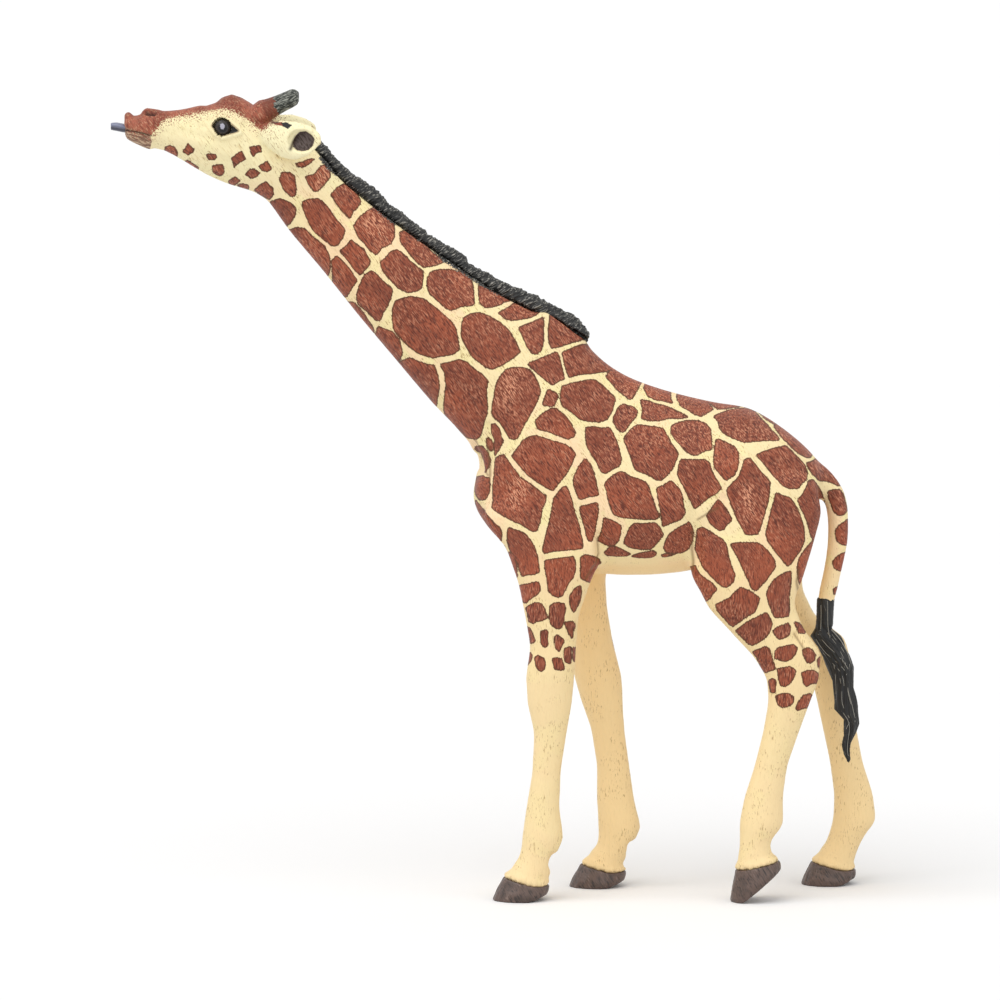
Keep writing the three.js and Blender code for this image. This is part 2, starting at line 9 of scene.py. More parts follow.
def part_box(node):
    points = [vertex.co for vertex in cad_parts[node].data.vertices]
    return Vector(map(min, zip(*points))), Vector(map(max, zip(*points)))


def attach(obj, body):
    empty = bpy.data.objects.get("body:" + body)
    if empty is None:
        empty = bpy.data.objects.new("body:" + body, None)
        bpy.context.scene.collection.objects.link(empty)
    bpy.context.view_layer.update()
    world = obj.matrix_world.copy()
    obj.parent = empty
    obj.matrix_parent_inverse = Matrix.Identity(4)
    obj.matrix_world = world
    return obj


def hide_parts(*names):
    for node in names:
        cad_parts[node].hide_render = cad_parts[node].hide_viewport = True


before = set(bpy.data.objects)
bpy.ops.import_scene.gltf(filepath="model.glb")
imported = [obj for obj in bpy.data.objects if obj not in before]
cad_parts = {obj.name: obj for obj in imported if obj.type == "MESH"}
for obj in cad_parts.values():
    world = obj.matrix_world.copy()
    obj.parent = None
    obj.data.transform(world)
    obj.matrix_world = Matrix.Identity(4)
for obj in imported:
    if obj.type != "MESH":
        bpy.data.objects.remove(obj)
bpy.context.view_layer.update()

mm = 0.001

# The camera looks along +Y and a little down. Lengths are in mm, angles in degrees.
cameraSetup = {
    "distance": 1600,
    "tilt": 6.5,
    "aim": (1.18, 0, 85.6),
    "widthSeen": 215.3,  # of the figure's plane, across the whole picture
    "picture": 1000,  # pixels across
    "sensor": 36,
    "farthest": 100,  # metres
}
pixel = cameraSetup["widthSeen"] / cameraSetup["picture"]  # in mm, on the figure
viewTilt = math.radians(cameraSetup["tilt"])
viewAhead = (0, math.cos(viewTilt), -math.sin(viewTilt))
viewUp = (0, math.sin(viewTilt), math.cos(viewTilt))


def placeCamera():
    setup = cameraSetup
    data = bpy.data.cameras.new("camera")
    data.sensor_width = setup["sensor"]
    data.lens = setup["sensor"] * setup["distance"] / setup["widthSeen"]
    data.clip_end = setup["farthest"]
    camera = bpy.data.objects.new("camera", data)
    bpy.context.collection.objects.link(camera)
    camera.location = (Vector(setup["aim"]) - Vector(viewAhead) * setup["distance"]) * mm
    camera.rotation_euler = (math.radians(90) - viewTilt, 0, 0)
    bpy.context.scene.camera = camera


def toPicture(points):
    # Where points of the near side, in mm, lie in the picture. Those of the far side are mirrored.
    setup = cameraSetup
    mirrored = points * [1, 0, 1] - np.abs(points) * [0, 1, 0]
    away = mirrored - (np.array(setup["aim"]) - np.array(viewAhead) * setup["distance"])
    middle = setup["picture"] / 2
    size = setup["picture"] * setup["distance"] / setup["widthSeen"] / (away @ viewAhead)
    return np.stack([middle + away[:, 0] * size, middle - away @ viewUp * size], 1)


def onFigure(change):
    # A change in picture pixels, right and down, as one in mm in the plane of the figure.
    return np.stack([change[:, 0], 0 * change[:, 0], -change[:, 1]], 1) * pixel


def rayThrough(spot, side):
    # From where, in metres, and which way the camera or its mirror image on the far side sees a spot.
    setup = cameraSetup
    ahead = Vector(viewAhead) * setup["distance"]
    right = (spot[0] - setup["picture"] / 2) * pixel
    up = (setup["picture"] / 2 - spot[1]) * pixel
    way = ahead + Vector((1, 0, 0)) * right + Vector(viewUp) * up
    mirror = Vector((1, side, 1))
    return (Vector(setup["aim"]) - ahead) * mirror * mm, (way * mirror).normalized()


# Meshes. Points are in mm, except where a comment says metres.


def selectOnly(*pieces):
    if bpy.context.mode != "OBJECT":
        bpy.ops.object.mode_set(mode="OBJECT")
    bpy.ops.object.select_all(action="DESELECT")
    for piece in pieces:
        piece.select_set(True)
    bpy.context.view_layer.objects.active = pieces[0]


def editAll(piece, *steps):
    # Runs mesh operations on the whole of a piece, one after the other.
    selectOnly(piece)
    bpy.ops.object.mode_set(mode="EDIT")
    for step in steps:
        bpy.ops.mesh.select_all(action="SELECT")
        step()
    bpy.ops.object.mode_set(mode="OBJECT")


def readArray(items, key, width=1, kind=np.float32):
    values = np.zeros(len(items) * width, kind)
    items.foreach_get(key, values)
    return values.reshape(-1, width) if width > 1 else values


def pointsOf(piece):
    return readArray(piece.data.vertices, "co", 3).astype(float) / mm


def normalsOf(piece):
    return readArray(piece.data.vertex_normals, "vector", 3).astype(float)


def movePoints(piece, points):
    piece.data.vertices.foreach_set("co", (points * mm).astype(np.float32).ravel())
    piece.data.update()


def writeValue(piece, name, values):
    layer = piece.data.attributes.new(name, "FLOAT", "POINT")
    layer.data.foreach_set("value", np.asarray(values, np.float32))


def smoothStep(value, low, high):
    share = np.clip((value - low) / (high - low), 0, 1)
    return share * share * (3 - 2 * share)


def weigh(piece, name, weights, levels):
    # A vertex group from weights between 0 and 1, rounded to a few levels.
    group = piece.vertex_groups.new(name=name)
    steps = np.rint(weights * levels).astype(int)
    for step in range(1, levels + 1):
        group.add(np.flatnonzero(steps == step).tolist(), step / levels, "REPLACE")


def smoothOff(piece, rounds):
    selectOnly(piece)
    smoothing = piece.modifiers.new("smooth", "SMOOTH")
    smoothing.factor = 1
    smoothing.iterations = rounds
    if "loose" in piece.vertex_groups:
        smoothing.vertex_group = "loose"
    bpy.ops.object.modifier_apply(modifier=smoothing.name)


def relax(piece, rounds):
    # Smooths without shrinking: what a second pass would take off is given back.
    smoothOff(piece, rounds)
    once = pointsOf(piece)
    smoothOff(piece, rounds)
    movePoints(piece, 2 * once - pointsOf(piece))


meshing = {
    "same": 0.001,  # mm between points that are one
    "levels": 24,  # of looseness
    "pace": 4,  # rounds of smoothing for a blur as wide as one cell of the grid
    "smoothAngle": 50,
}


def castFrom(nodes, name, setup, weightAt=None, cut=None):
    # One closed surface round some CAD nodes, without their facets. Its setup holds the mm that they
    # swell by until they are joined, the cells of its grid and how far it is blurred.
    parts = []
    for node in nodes:
        part = bpy.data.objects.new(name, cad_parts[node].data.copy())
        part.data.materials.clear()
        bpy.context.collection.objects.link(part)
        editAll(part, lambda: bpy.ops.mesh.remove_doubles(threshold=meshing["same"] * mm))
        movePoints(part, pointsOf(part) + setup["swell"] * normalsOf(part))
        parts.append(part)
    selectOnly(*parts)
    if len(parts) > 1:
        bpy.ops.object.join()
    cast = parts[0]
    cast.name = name
    if cut:
        editAll(cast, lambda: bpy.ops.mesh.bisect(
            plane_co=Vector(cut["at"]) * mm, plane_no=cut["facing"], use_fill=True, clear_outer=True,
        ))
    cast.data.remesh_voxel_size = setup["grid"] * mm
    cast.data.remesh_voxel_adaptivity = 0
    bpy.ops.object.voxel_remesh()
    if weightAt:
        weigh(cast, "loose", weightAt(pointsOf(cast)), meshing["levels"])
    relax(cast, round(meshing["pace"] * (setup["blur"] / setup["grid"]) ** 2))
    cast.vertex_groups.clear()
    movePoints(cast, pointsOf(cast) - setup["swell"] * normalsOf(cast))
    print("cast", name, len(cast.data.vertices), "points")
    return cast


# Outlines of the brown patches on the near side, in picture pixels. Where a patch runs over the
# back or round the throat, its outline passes the animal's edge.
coatPatches = {
    "head": [
        [(165, 147), (170, 145), (175, 147), (178, 153), (177, 157), (172, 157), (164, 152)],
        [(183, 150), (185, 148), (188, 143), (191, 146), (195, 149), (193, 153), (188, 155), (183, 152)],
        [(185, 161), (188, 159.5), (199, 167), (198, 172), (186, 166)],
        [(206, 154), (211, 153), (216, 154), (217, 157), (215, 160), (208, 160)],
        [(212, 165), (223, 164), (225, 171), (223, 175), (219, 176), (213, 173)],
        [(231, 158), (239, 152), (242, 151), (245, 156), (246, 159), (241, 162), (236, 166), (234, 168)],
        [(249, 147), (258, 145), (261, 146), (262, 152), (257, 153), (253, 157), (251, 154)],
        [(246, 173), (250, 169), (254, 168), (260, 173), (258, 176), (252, 179), (245, 175)],
        [(258, 166), (263, 163), (267, 161), (270, 165), (272, 169), (268, 172), (262, 171)],
        [(228, 181), (235, 176), (241, 180), (237, 184), (231, 188)],
        [(237, 185), (242, 183), (249, 185), (249, 190), (242, 191)],
        [(254, 190), (259, 185), (266, 181), (273, 188), (274, 195), (270, 200), (260, 196)],
        [(281, 172), (290, 172), (295, 176), (297, 190), (296, 196), (291, 197), (284, 191), (279, 180)],
        [(295, 163), (301, 162), (311, 158), (315, 159), (310, 164), (303, 168), (297, 167)],
        [(305, 176), (314, 174), (320, 166), (325, 164), (330, 170), (331, 177), (326, 183), (319, 191),
         (314, 192), (308, 184)],
    ],
    "neck": [
        [(270, 201), (280, 198), (292, 203), (296, 208), (295, 215), (290, 223), (285, 227), (273, 213)],
        [(302, 201), (309, 199), (318, 198), (322, 200), (330, 210), (338, 222), (345, 230), (342, 238),
         (337, 245), (332, 246), (325, 241), (313, 231), (306, 217), (302, 206)],
        [(330, 195), (336, 188), (344, 183), (350, 187), (357, 193), (361, 200), (360, 205), (353, 212),
         (350, 218), (346, 215), (337, 205)],
        [(288, 231), (296, 228), (304, 229), (313, 238), (324, 247), (329, 258), (330, 267), (328, 275),
         (323, 277), (313, 267), (300, 250)],
        [(332, 261), (336, 257), (342, 262), (350, 272), (356, 281), (352, 287), (346, 297), (340, 294),
         (333, 286), (333, 276)],
        [(340, 251), (346, 247), (351, 240), (357, 245), (363, 249), (370, 262), (368, 266), (360, 275),
         (356, 272), (350, 263)],
        [(354, 226), (359, 218), (367, 211), (374, 207), (386, 215), (394, 224), (394, 236), (391, 243),
         (381, 248), (376, 255), (367, 246), (358, 235)],
        [(400, 232), (406, 231), (415, 237), (424, 243), (431, 252), (438, 257), (443, 262), (436, 265),
         (424, 267), (417, 262), (409, 252), (401, 242)],
        [(381, 262), (386, 258), (391, 252), (397, 250), (403, 254), (413, 264), (422, 271), (423, 277),
         (421, 288), (416, 291), (407, 292), (399, 288), (388, 277), (382, 268)],
        [(431, 272), (440, 270), (450, 270), (462, 273), (471, 279), (473, 290), (474, 303), (472, 305),
         (461, 306), (451, 310), (446, 308), (438, 300), (430, 294), (427, 285), (428, 278)],
        [(479, 284), (487, 287), (495, 290), (503, 293), (512, 296), (511, 300), (503, 302), (499, 305),
         (490, 307), (485, 307), (480, 303), (479, 293)],
        [(396, 301), (404, 298), (412, 297), (423, 299), (434, 307), (447, 318), (455, 327), (458, 341),
         (459, 350), (452, 354), (440, 356), (432, 358), (420, 354), (411, 348), (401, 338), (394, 329),
         (392, 317), (393, 308)],
        [(364, 276), (371, 271), (375, 273), (383, 282), (392, 289), (391, 296), (387, 306), (383, 312),
         (380, 320), (376, 320), (367, 311), (358, 303), (357, 295), (359, 287)],
        [(346, 302), (354, 303), (361, 310), (367, 319), (373, 328), (373, 336), (364, 330), (352, 315)],
        [(378, 327), (386, 330), (393, 333), (399, 341), (402, 352), (400, 359), (395, 364), (385, 354),
         (375, 340)],
        [(398, 363), (410, 358), (418, 362), (427, 365), (433, 366), (437, 376), (439, 388), (437, 397),
         (436, 406), (429, 405), (415, 390), (404, 376)],
        [(440, 365), (452, 362), (460, 360), (467, 363), (475, 370), (482, 375), (488, 381), (486, 390),
         (487, 405), (487, 413), (484, 420), (482, 430), (480, 436), (476, 439), (467, 437), (457, 428),
         (446, 416), (444, 410), (445, 398), (446, 385), (444, 372)],
        [(464, 318), (471, 314), (479, 313), (490, 317), (500, 323), (508, 330), (515, 341), (520, 352),
         (511, 359), (503, 364), (492, 369), (486, 367), (472, 356), (466, 345), (462, 337), (462, 326)],
        [(499, 313), (508, 308), (515, 303), (524, 304), (533, 308), (541, 313), (532, 317), (520, 319),
         (511, 320), (505, 318)],
    ],
    "withers": [
        [(519, 328), (525, 325), (535, 322), (541, 321), (542, 327), (543, 333), (543, 342), (541, 350),
         (537, 354), (532, 353), (528, 347), (524, 338)],
        [(547, 319), (556, 319), (563, 321), (570, 326), (578, 332), (584, 337), (588, 343), (578, 343.5),
         (568, 344), (558, 346), (551, 348), (549, 340), (548, 330)],
        [(528, 364), (535, 361), (545, 357), (557, 352), (559, 357), (561, 366), (564, 379), (560, 380),
         (552, 385), (548, 382), (541, 376), (534, 370)],
        [(563, 352), (572, 349), (580, 347.5), (588, 347), (597, 349), (606, 359), (614, 368), (607, 371),
         (592, 373), (578, 374), (569, 377), (566, 368)],
        [(500, 377), (506, 370), (512, 368), (523, 368), (529, 370), (534, 376), (537, 382), (540, 391),
         (538, 399), (533, 409), (527, 420), (521, 430), (518, 437), (514, 439), (510, 438), (506, 431),
         (500, 422), (494, 417), (492, 413), (493, 404), (495, 392), (497, 383)],
        [(547, 392), (549, 390.5), (556, 394), (558, 396), (555, 402), (553, 406.5), (543, 405), (545, 398)],
        [(562, 387), (572, 383.5), (583, 381), (590, 380), (596, 381), (602, 386), (608, 391), (615, 399),
         (612, 410), (607, 419), (600, 421), (588, 421), (580, 419), (573, 413), (563, 406), (560, 400),
         (561, 393)],
        [(606, 377), (610, 371), (617, 365), (627, 370), (637, 374), (641, 382), (638, 388), (635, 393),
         (632, 398), (629, 399), (624, 395), (618, 390), (612, 383)],
        [(536, 421), (543, 414), (550, 410), (555, 409), (562, 414), (570, 423), (575, 433), (573, 437),
         (567, 439), (560, 436), (547, 431), (538, 429)],
        [(491, 425), (495, 424), (499, 429), (501, 437), (503, 441), (499, 449), (494, 456), (493, 447),
         (495, 440), (491, 433)],
        [(487, 438), (490, 441), (492, 447), (490, 451), (487, 445)],
        [(474, 448), (482, 446), (487, 452), (489, 460), (488, 467), (485, 472), (482, 466), (478, 456)],
    ],
    "shoulder": [
        [(477, 477), (483, 476), (485, 478), (489, 478), (490, 485), (489, 493), (486, 499), (480, 499),
         (476, 493), (475, 486)],
        [(512, 456), (518, 448), (523, 441), (530, 437), (536, 436), (545, 439), (554, 442), (565, 445),
         (571, 449), (575, 454), (572, 462), (567, 472), (560, 481), (553, 490), (548, 488), (538, 482),
         (527, 474), (518, 463)],
        [(494, 460), (499, 456), (504, 455), (507, 460), (511, 466), (516, 472), (520, 478), (527, 482),
         (535, 488), (541, 493), (546, 496), (545, 502), (542, 508), (541, 514), (540, 521), (538, 526),
         (537, 530), (533, 531), (529, 529), (523, 525), (517, 522), (510, 519), (503, 515), (495, 510),
         (493, 507), (494, 500), (493, 490), (494, 480), (493, 470)],
        [(566, 486), (568, 490), (571, 498), (573, 507), (575, 515), (578, 524), (580, 532), (582, 541),
         (582, 548), (575, 549), (563, 550), (552, 551), (545, 553), (543, 550), (545, 541), (547, 532),
         (550, 521), (552, 511), (554, 499), (558, 493), (562, 488)],
        [(585, 459), (590, 465), (594, 474), (596, 484), (598, 495), (590, 496), (580, 499), (577, 494),
         (574, 484), (574, 478), (579, 467)],
        [(586, 428), (594, 427), (603, 428), (609, 428), (613, 434), (616, 441), (619, 450), (621, 460),
         (619, 466), (612, 469), (605, 473), (601, 471), (597, 462), (591, 453), (587, 445), (586, 437)],
        [(580, 507), (588, 505), (597, 503), (598, 510), (596, 522), (594, 535), (591, 541), (588, 540),
         (585, 528), (582, 517)],
        [(476, 500), (482, 507), (486, 513), (491, 519), (496, 524), (500, 528), (502, 533), (502, 541),
         (499, 545), (492, 538), (484, 526), (476, 512)],
        [(508, 532), (509, 528), (514, 530), (521, 532), (526, 535), (530, 540), (534, 547), (537, 556),
         (538, 563), (539, 572), (534, 574), (528, 574), (522, 576), (520, 570), (518, 563), (514, 556),
         (510, 549), (508, 541)],
    ],
    "barrel": [
        [(644, 388), (647, 381), (656, 384), (670, 389), (670, 397), (672, 403), (665, 401), (655, 399),
         (648, 396)],
        [(677, 396), (679, 391), (692, 392), (704, 397), (708, 403), (713, 409), (708, 412), (701, 416),
         (695, 414), (687, 409), (681, 406), (678, 400)],
        [(706, 401), (712, 398), (730, 400), (748, 404), (735, 407), (725, 408.5), (718, 409), (713, 405)],
        [(641, 400), (647, 401), (655, 404), (664, 406), (672, 409), (680, 413), (688, 417), (680, 418),
         (668, 418), (658, 420.5), (648, 420), (642, 418), (643, 410)],
        [(619, 407), (624, 404.5), (628, 406), (633, 407), (637, 411), (636, 416), (630, 423), (625, 430),
         (622, 432), (617, 428), (613, 420), (616, 413)],
        [(624, 438), (629, 432), (634, 427), (639, 425), (645, 426), (654, 427), (663, 429), (667, 436),
         (670, 442), (674, 448), (678, 454), (675, 462), (672, 469), (666, 476), (661, 480), (655, 479),
         (648, 474), (641, 472), (636, 470), (633, 463), (630, 454), (627, 447)],
        [(672, 426), (678, 423), (687, 421), (698, 421), (706, 424), (710, 430), (711, 438), (711, 444),
         (712, 449), (704, 451), (696, 455), (691, 454), (685, 450), (680, 444), (675, 439), (671, 432)],
        [(681, 460), (692, 460), (705, 460), (709, 463), (711, 470), (715, 478), (721, 488), (716, 493),
         (708, 498), (700, 505), (695, 509), (692, 503), (689, 496), (685, 488), (681, 481), (678, 474),
         (679, 466)],
        [(605, 484), (608, 480), (614, 475), (620, 472), (625, 473), (630, 477), (637, 479), (645, 482),
         (649, 487), (650, 492), (653, 500), (656, 510), (659, 516), (656, 519), (645, 519), (633, 518),
         (622, 517), (614, 514), (612, 510), (609, 502), (607, 492)],
        [(657, 488), (663, 486), (671, 481), (675, 485), (680, 490), (682, 497), (683, 505), (685, 513),
         (681, 519), (675, 521), (668, 524), (663, 526), (662, 519), (661, 510), (659, 500)],
        [(604, 518), (610, 520), (616, 523), (621, 526), (620, 534), (618, 541), (614, 545), (607, 545),
         (599, 542), (601, 536), (603, 527)],
        [(630, 528), (634, 524), (645, 524), (655, 523), (659, 527), (663, 535), (659, 540), (655, 545),
         (650, 549), (640, 549), (630, 547), (624, 543), (626, 537)],
        [(685, 525), (689, 523), (692, 528), (693, 535), (691, 543), (688, 549), (683, 552), (675, 553),
         (667, 552), (664, 548), (666, 541), (669, 535), (677, 529)],
        [(605, 553), (610, 547), (616, 547), (622, 550), (630, 554), (626, 556), (615, 557), (608, 556)],
        [(631, 557), (638, 554), (648, 552), (653, 551), (656, 553), (653, 559), (648, 560.5), (638, 560)],
        [(659, 558), (664, 554), (676, 555), (672, 559), (662, 560)],
    ],
    "rump": [
        [(714, 417), (720, 414), (728, 411), (737, 409), (748, 408.5), (754, 411), (759, 417), (765, 423),
         (771, 430), (776, 435), (779, 440), (768, 440), (755, 441), (745, 442.5), (741, 441), (733, 438),
         (725, 434), (720, 429), (718, 422)],
        [(756, 409), (765, 408), (778, 420), (774, 424), (765, 418)],
        [(774, 426), (780, 421), (793, 430), (806, 444), (813, 452), (810, 457), (807, 457), (800, 454),
         (792, 447), (785, 440), (779, 433)],
        [(807, 463), (812, 462), (821, 456), (831, 463), (838, 472), (846, 484), (838, 485.5), (832, 482),
         (825, 480.5), (819, 480), (813, 474), (809, 468)],
        [(716, 440), (720, 440), (728, 444), (734, 447), (738, 453), (738, 461), (737, 468), (734, 475),
         (729, 478), (726, 480), (720, 474), (715, 467), (714, 460), (715, 450)],
        [(745, 460), (749, 459), (753, 463), (758, 470), (765, 477), (770, 483), (769, 490), (768, 500),
         (765, 510), (762, 520), (759, 530), (757, 534), (746, 534), (741, 525), (737, 517), (732, 505),
         (728, 495), (727, 489), (733, 483), (739, 477), (742, 468)],
        [(757, 455), (763, 452), (770, 450), (777, 448), (785, 446), (790, 450), (798, 458), (804, 465),
         (807, 473), (806, 479), (801, 484), (798, 488), (790, 488), (784, 486), (779, 481), (773, 475),
         (767, 467), (761, 460)],
        [(776, 493), (782, 496), (790, 498), (794, 504), (799, 514), (803, 526), (804, 535), (804, 541),
         (800, 550), (795, 558), (792, 564), (788, 566), (783, 560), (777, 553), (772, 546), (767, 539),
         (766, 532), (768, 525), (770, 516), (773, 505)],
        [(798, 500), (801, 497), (806, 489), (809, 481), (813, 480), (820, 490), (824, 500), (824, 511),
         (821, 522), (818, 532), (814, 541), (811, 535), (809, 527), (806, 517), (801, 508)],
        [(813, 541), (805, 550), (800, 558), (798, 568), (799, 580), (802, 588), (806, 585), (807, 566),
         (811, 556), (816, 546)],
        [(718, 500), (722, 504), (726, 509), (732, 520), (727, 524), (724, 529), (720, 530), (715, 527),
         (710, 522), (707, 516), (710, 511), (715, 504)],
        [(828, 492), (833, 490), (840, 490), (843, 495), (845, 503), (847, 510), (844, 514), (838, 515),
         (834, 511), (831, 503), (829, 497)],
        [(836, 530), (840, 525), (846, 521), (854, 517), (855, 530), (854, 544), (848, 545), (842, 544),
         (837, 541), (836, 535)],
        [(833, 562), (836, 558), (840, 555), (850, 551), (849, 561), (844, 571), (838, 570), (834, 567)],
        [(834, 589), (838, 587), (838, 593), (834, 594)],
    ],
    "thigh": [
        [(698, 530), (703, 528), (709, 531), (716, 536), (723, 540), (726, 545), (728, 555), (731, 565),
         (735, 575), (733, 581), (728, 586), (724, 586), (718, 582), (710, 574), (703, 567), (697, 558),
         (694, 550), (696, 540)],
        [(731, 544), (740, 543), (756, 543), (762, 546), (768, 552), (774, 560), (775, 567), (771, 572),
         (767, 578), (761, 585), (756, 590), (752, 588), (749, 580), (744, 570), (740, 560), (734, 550)],
        [(687, 569), (694, 566), (699, 574), (705, 579), (712, 583), (717, 589), (713, 593), (710, 598),
         (704, 602), (698, 597), (692, 588), (687, 577)],
        [(716, 605), (722, 602), (730, 598), (736, 591), (741, 587), (748, 590), (754, 594), (759, 598),
         (757, 606), (754, 612), (747, 616), (740, 621), (733, 626), (730, 624), (724, 617), (718, 610)],
        [(736, 631), (741, 627), (748, 622), (756, 618), (766, 613), (770, 618), (772, 624), (769, 632),
         (765, 638), (758, 642), (752, 645), (748, 643), (742, 637)],
        [(778, 577), (785, 573), (792, 572), (792, 580), (791, 590), (790, 600), (791, 610), (790, 615),
         (782, 617), (775, 617), (771, 608), (768, 600), (767, 594), (769, 587), (774, 580)],
        [(773, 631), (777, 628), (784, 625), (789, 623), (791, 627), (790, 634), (785, 637), (780, 639),
         (776, 636)],
        [(796, 622), (799, 623), (802, 627), (806, 631), (804, 633), (800, 632), (798, 627)],
        [(753, 652), (760, 649), (765, 647), (769, 649), (771, 656), (773, 663), (775, 669), (771, 670),
         (766, 672), (762, 670), (760, 664), (757, 657)],
        [(775, 652), (779, 648), (787, 646), (794, 645), (797, 648), (795, 653), (792, 658), (785, 661),
         (780, 660), (775, 658)],
        [(803, 650), (808, 648), (812, 650), (815, 655), (814, 660), (810, 663), (807, 662), (804, 655)],
        [(818, 659), (821, 657), (825, 663), (826, 669), (821, 670), (818, 665)],
        [(778, 669), (784, 668), (790, 667), (796, 671), (793, 678), (790, 683), (785, 686), (781, 685),
         (779, 678)],
        [(802, 673), (808, 671), (814, 671), (818, 674), (819, 679), (816, 683), (811, 683), (807, 686),
         (804, 683)],
        [(769, 681), (772, 679), (776, 681), (775, 687), (775, 692), (771, 692), (770, 687)],
        [(776, 696), (782, 694), (789, 694), (793, 697), (793, 702), (789, 706), (782, 707), (778, 704)],
        [(799, 702), (803, 696), (810, 694), (812, 696), (810, 702), (808, 707), (803, 708), (798, 710),
         (796, 708)],
    ],
    "forearm": [
        [(545, 561), (550, 560), (557, 559), (565, 558), (573, 557), (575, 562), (575, 570), (573, 577),
         (568, 583), (565, 590), (562, 595), (559, 597), (555, 596), (549, 592), (548, 585), (547, 577),
         (545, 568)],
        [(581, 558), (585, 555), (591, 556), (597, 558), (600, 561), (598, 568), (594, 576), (590, 582),
         (587, 581), (581, 578), (581, 570)],
        [(517, 587), (524, 585), (530, 584), (537, 582), (539, 584), (540, 590), (537, 594), (531, 598),
         (525, 603), (520, 598), (517, 592)],
        [(526, 608), (531, 605), (535, 603), (541, 604), (544, 609), (546, 615), (547, 618), (542, 620),
         (537, 621), (533, 623), (529, 621), (528, 614)],
        [(550, 607), (553, 604), (559, 603), (564, 604), (565, 609), (564, 616), (563, 624), (560, 628),
         (556, 628), (551, 624), (550, 616)],
        [(570, 597), (573, 592), (576, 588), (580, 586), (581, 591), (580, 599), (577, 606), (574, 612),
         (571, 607)],
        [(541, 632), (545, 630), (548, 632), (547, 638), (548, 645), (545, 647), (541, 643), (541, 637)],
        [(555, 637), (557, 635), (561, 638), (564, 641), (561, 646), (559, 651), (556, 648), (555, 642)],
        [(565, 623), (570, 622), (573, 622), (575, 626), (573, 631), (572, 638), (569, 633), (567, 628)],
        [(535, 658), (538, 656), (543, 658), (545, 664), (544, 669), (541, 671), (537, 668), (536, 662)],
        [(553, 659), (556, 658), (561, 659), (563, 664), (564, 669), (561, 670), (555, 669), (554, 664)],
        [(565, 649), (571, 647), (571, 655), (570, 663), (566, 662), (564, 656)],
        [(573, 648), (577, 648), (577, 655), (579, 660), (574, 661), (573, 655)],
        [(525, 626), (530, 629), (533, 636), (535, 641), (531, 643), (526, 636)],
        [(525, 655), (530, 653), (532, 656), (530, 661), (527, 665)],
        [(509, 552), (514, 556), (516, 565), (517, 577), (512, 578), (509, 566)],
    ],
}

# Where the other paints lie: the face's brown, the lower lip, the eyes' rims, two marks on the
# poll, the horns' tips, the ears' openings and the hair at the foot of the mane.
faceOutlines = {
    "brown": [(116, 104), (124, 129), (137, 133), (150, 136), (155, 130), (161, 123), (166, 119),
              (176, 117), (186, 115), (198, 113), (207, 111), (216, 110), (225, 109), (235, 112),
              (243, 116), (251, 121), (255, 126), (261, 130), (265, 129), (271, 123), (280, 116),
              (302, 110), (306, 84), (270, 84), (230, 84), (180, 95), (140, 95)],
    "lip": [(118, 130), (126, 129.5), (137, 133.5), (150, 136), (152, 141), (150, 149), (138, 149),
            (122, 138)],
    "eyeRim": [(212.5, 126), (216, 121.5), (222, 119), (228, 121), (233, 126), (239, 131.5),
               (230, 134), (222, 136.5), (216, 133)],
    "pollMark": [(281, 123), (286, 122), (292, 125), (288, 129), (284, 127)],
    "pollLine": [(270, 122), (282, 122), (285, 126), (276, 125)],
    "hornTip": [(272, 96), (275, 103), (272, 107), (277, 110), (279, 116), (310, 112), (306, 80),
                (272, 80)],
    "earInside": [(293, 142), (296, 135), (300, 131.5), (306, 131), (312, 135), (315, 139), (313, 146),
                  (309, 150), (303, 151.5), (297, 150.5), (293, 147)],
    "maneRoot": [(319, 158), (324, 166), (333, 174), (345, 181), (355.5, 191.5), (371, 205.5), (390, 222),
                 (402, 228), (415, 238.5), (427.5, 246), (442, 260.5), (456, 270), (468, 276.5),
                 (477, 284), (492, 292), (510, 300), (531, 310.5), (549, 318), (570, 327), (580, 335),
                 (587, 343.5), (594, 330), (575, 302), (540, 282), (480, 255), (420, 212), (360, 162),
                 (330, 138), (316, 140)],
}


def cutCorners(outline, share=0.09):
    corners = np.array(outline, float)
    following = np.roll(corners, -1, 0)
    near = corners + share * (following - corners)
    far = following - share * (following - corners)
    return np.stack([near, far], 1).reshape(-1, 2)


def insideBy(spots, outline, margin=14):
    # How far inside an outline each picture point lies, in pixels, and below zero outside.
    corners = cutCorners(outline)
    found = np.full(len(spots), -float(margin))
    close = ((spots > corners.min(0) - margin) & (spots < corners.max(0) + margin)).all(1)
    near = spots[close]
    gap = np.full(len(near), float(margin))
    inside = np.zeros(len(near), bool)
    for start, end in zip(corners, np.roll(corners, -1, 0)):
        along = end - start
        share = np.clip((near - start) @ along / (along @ along), 0, 1)
        gap = np.minimum(gap, np.linalg.norm(near - start - share[:, None] * along, axis=1))
        if start[1] != end[1]:
            crossing = start[0] + (near[:, 1] - start[1]) / along[1] * along[0]
            inside ^= ((start[1] > near[:, 1]) != (end[1] > near[:, 1])) & (near[:, 0] < crossing)
    found[close] = np.where(inside, gap, -gap)
    return found


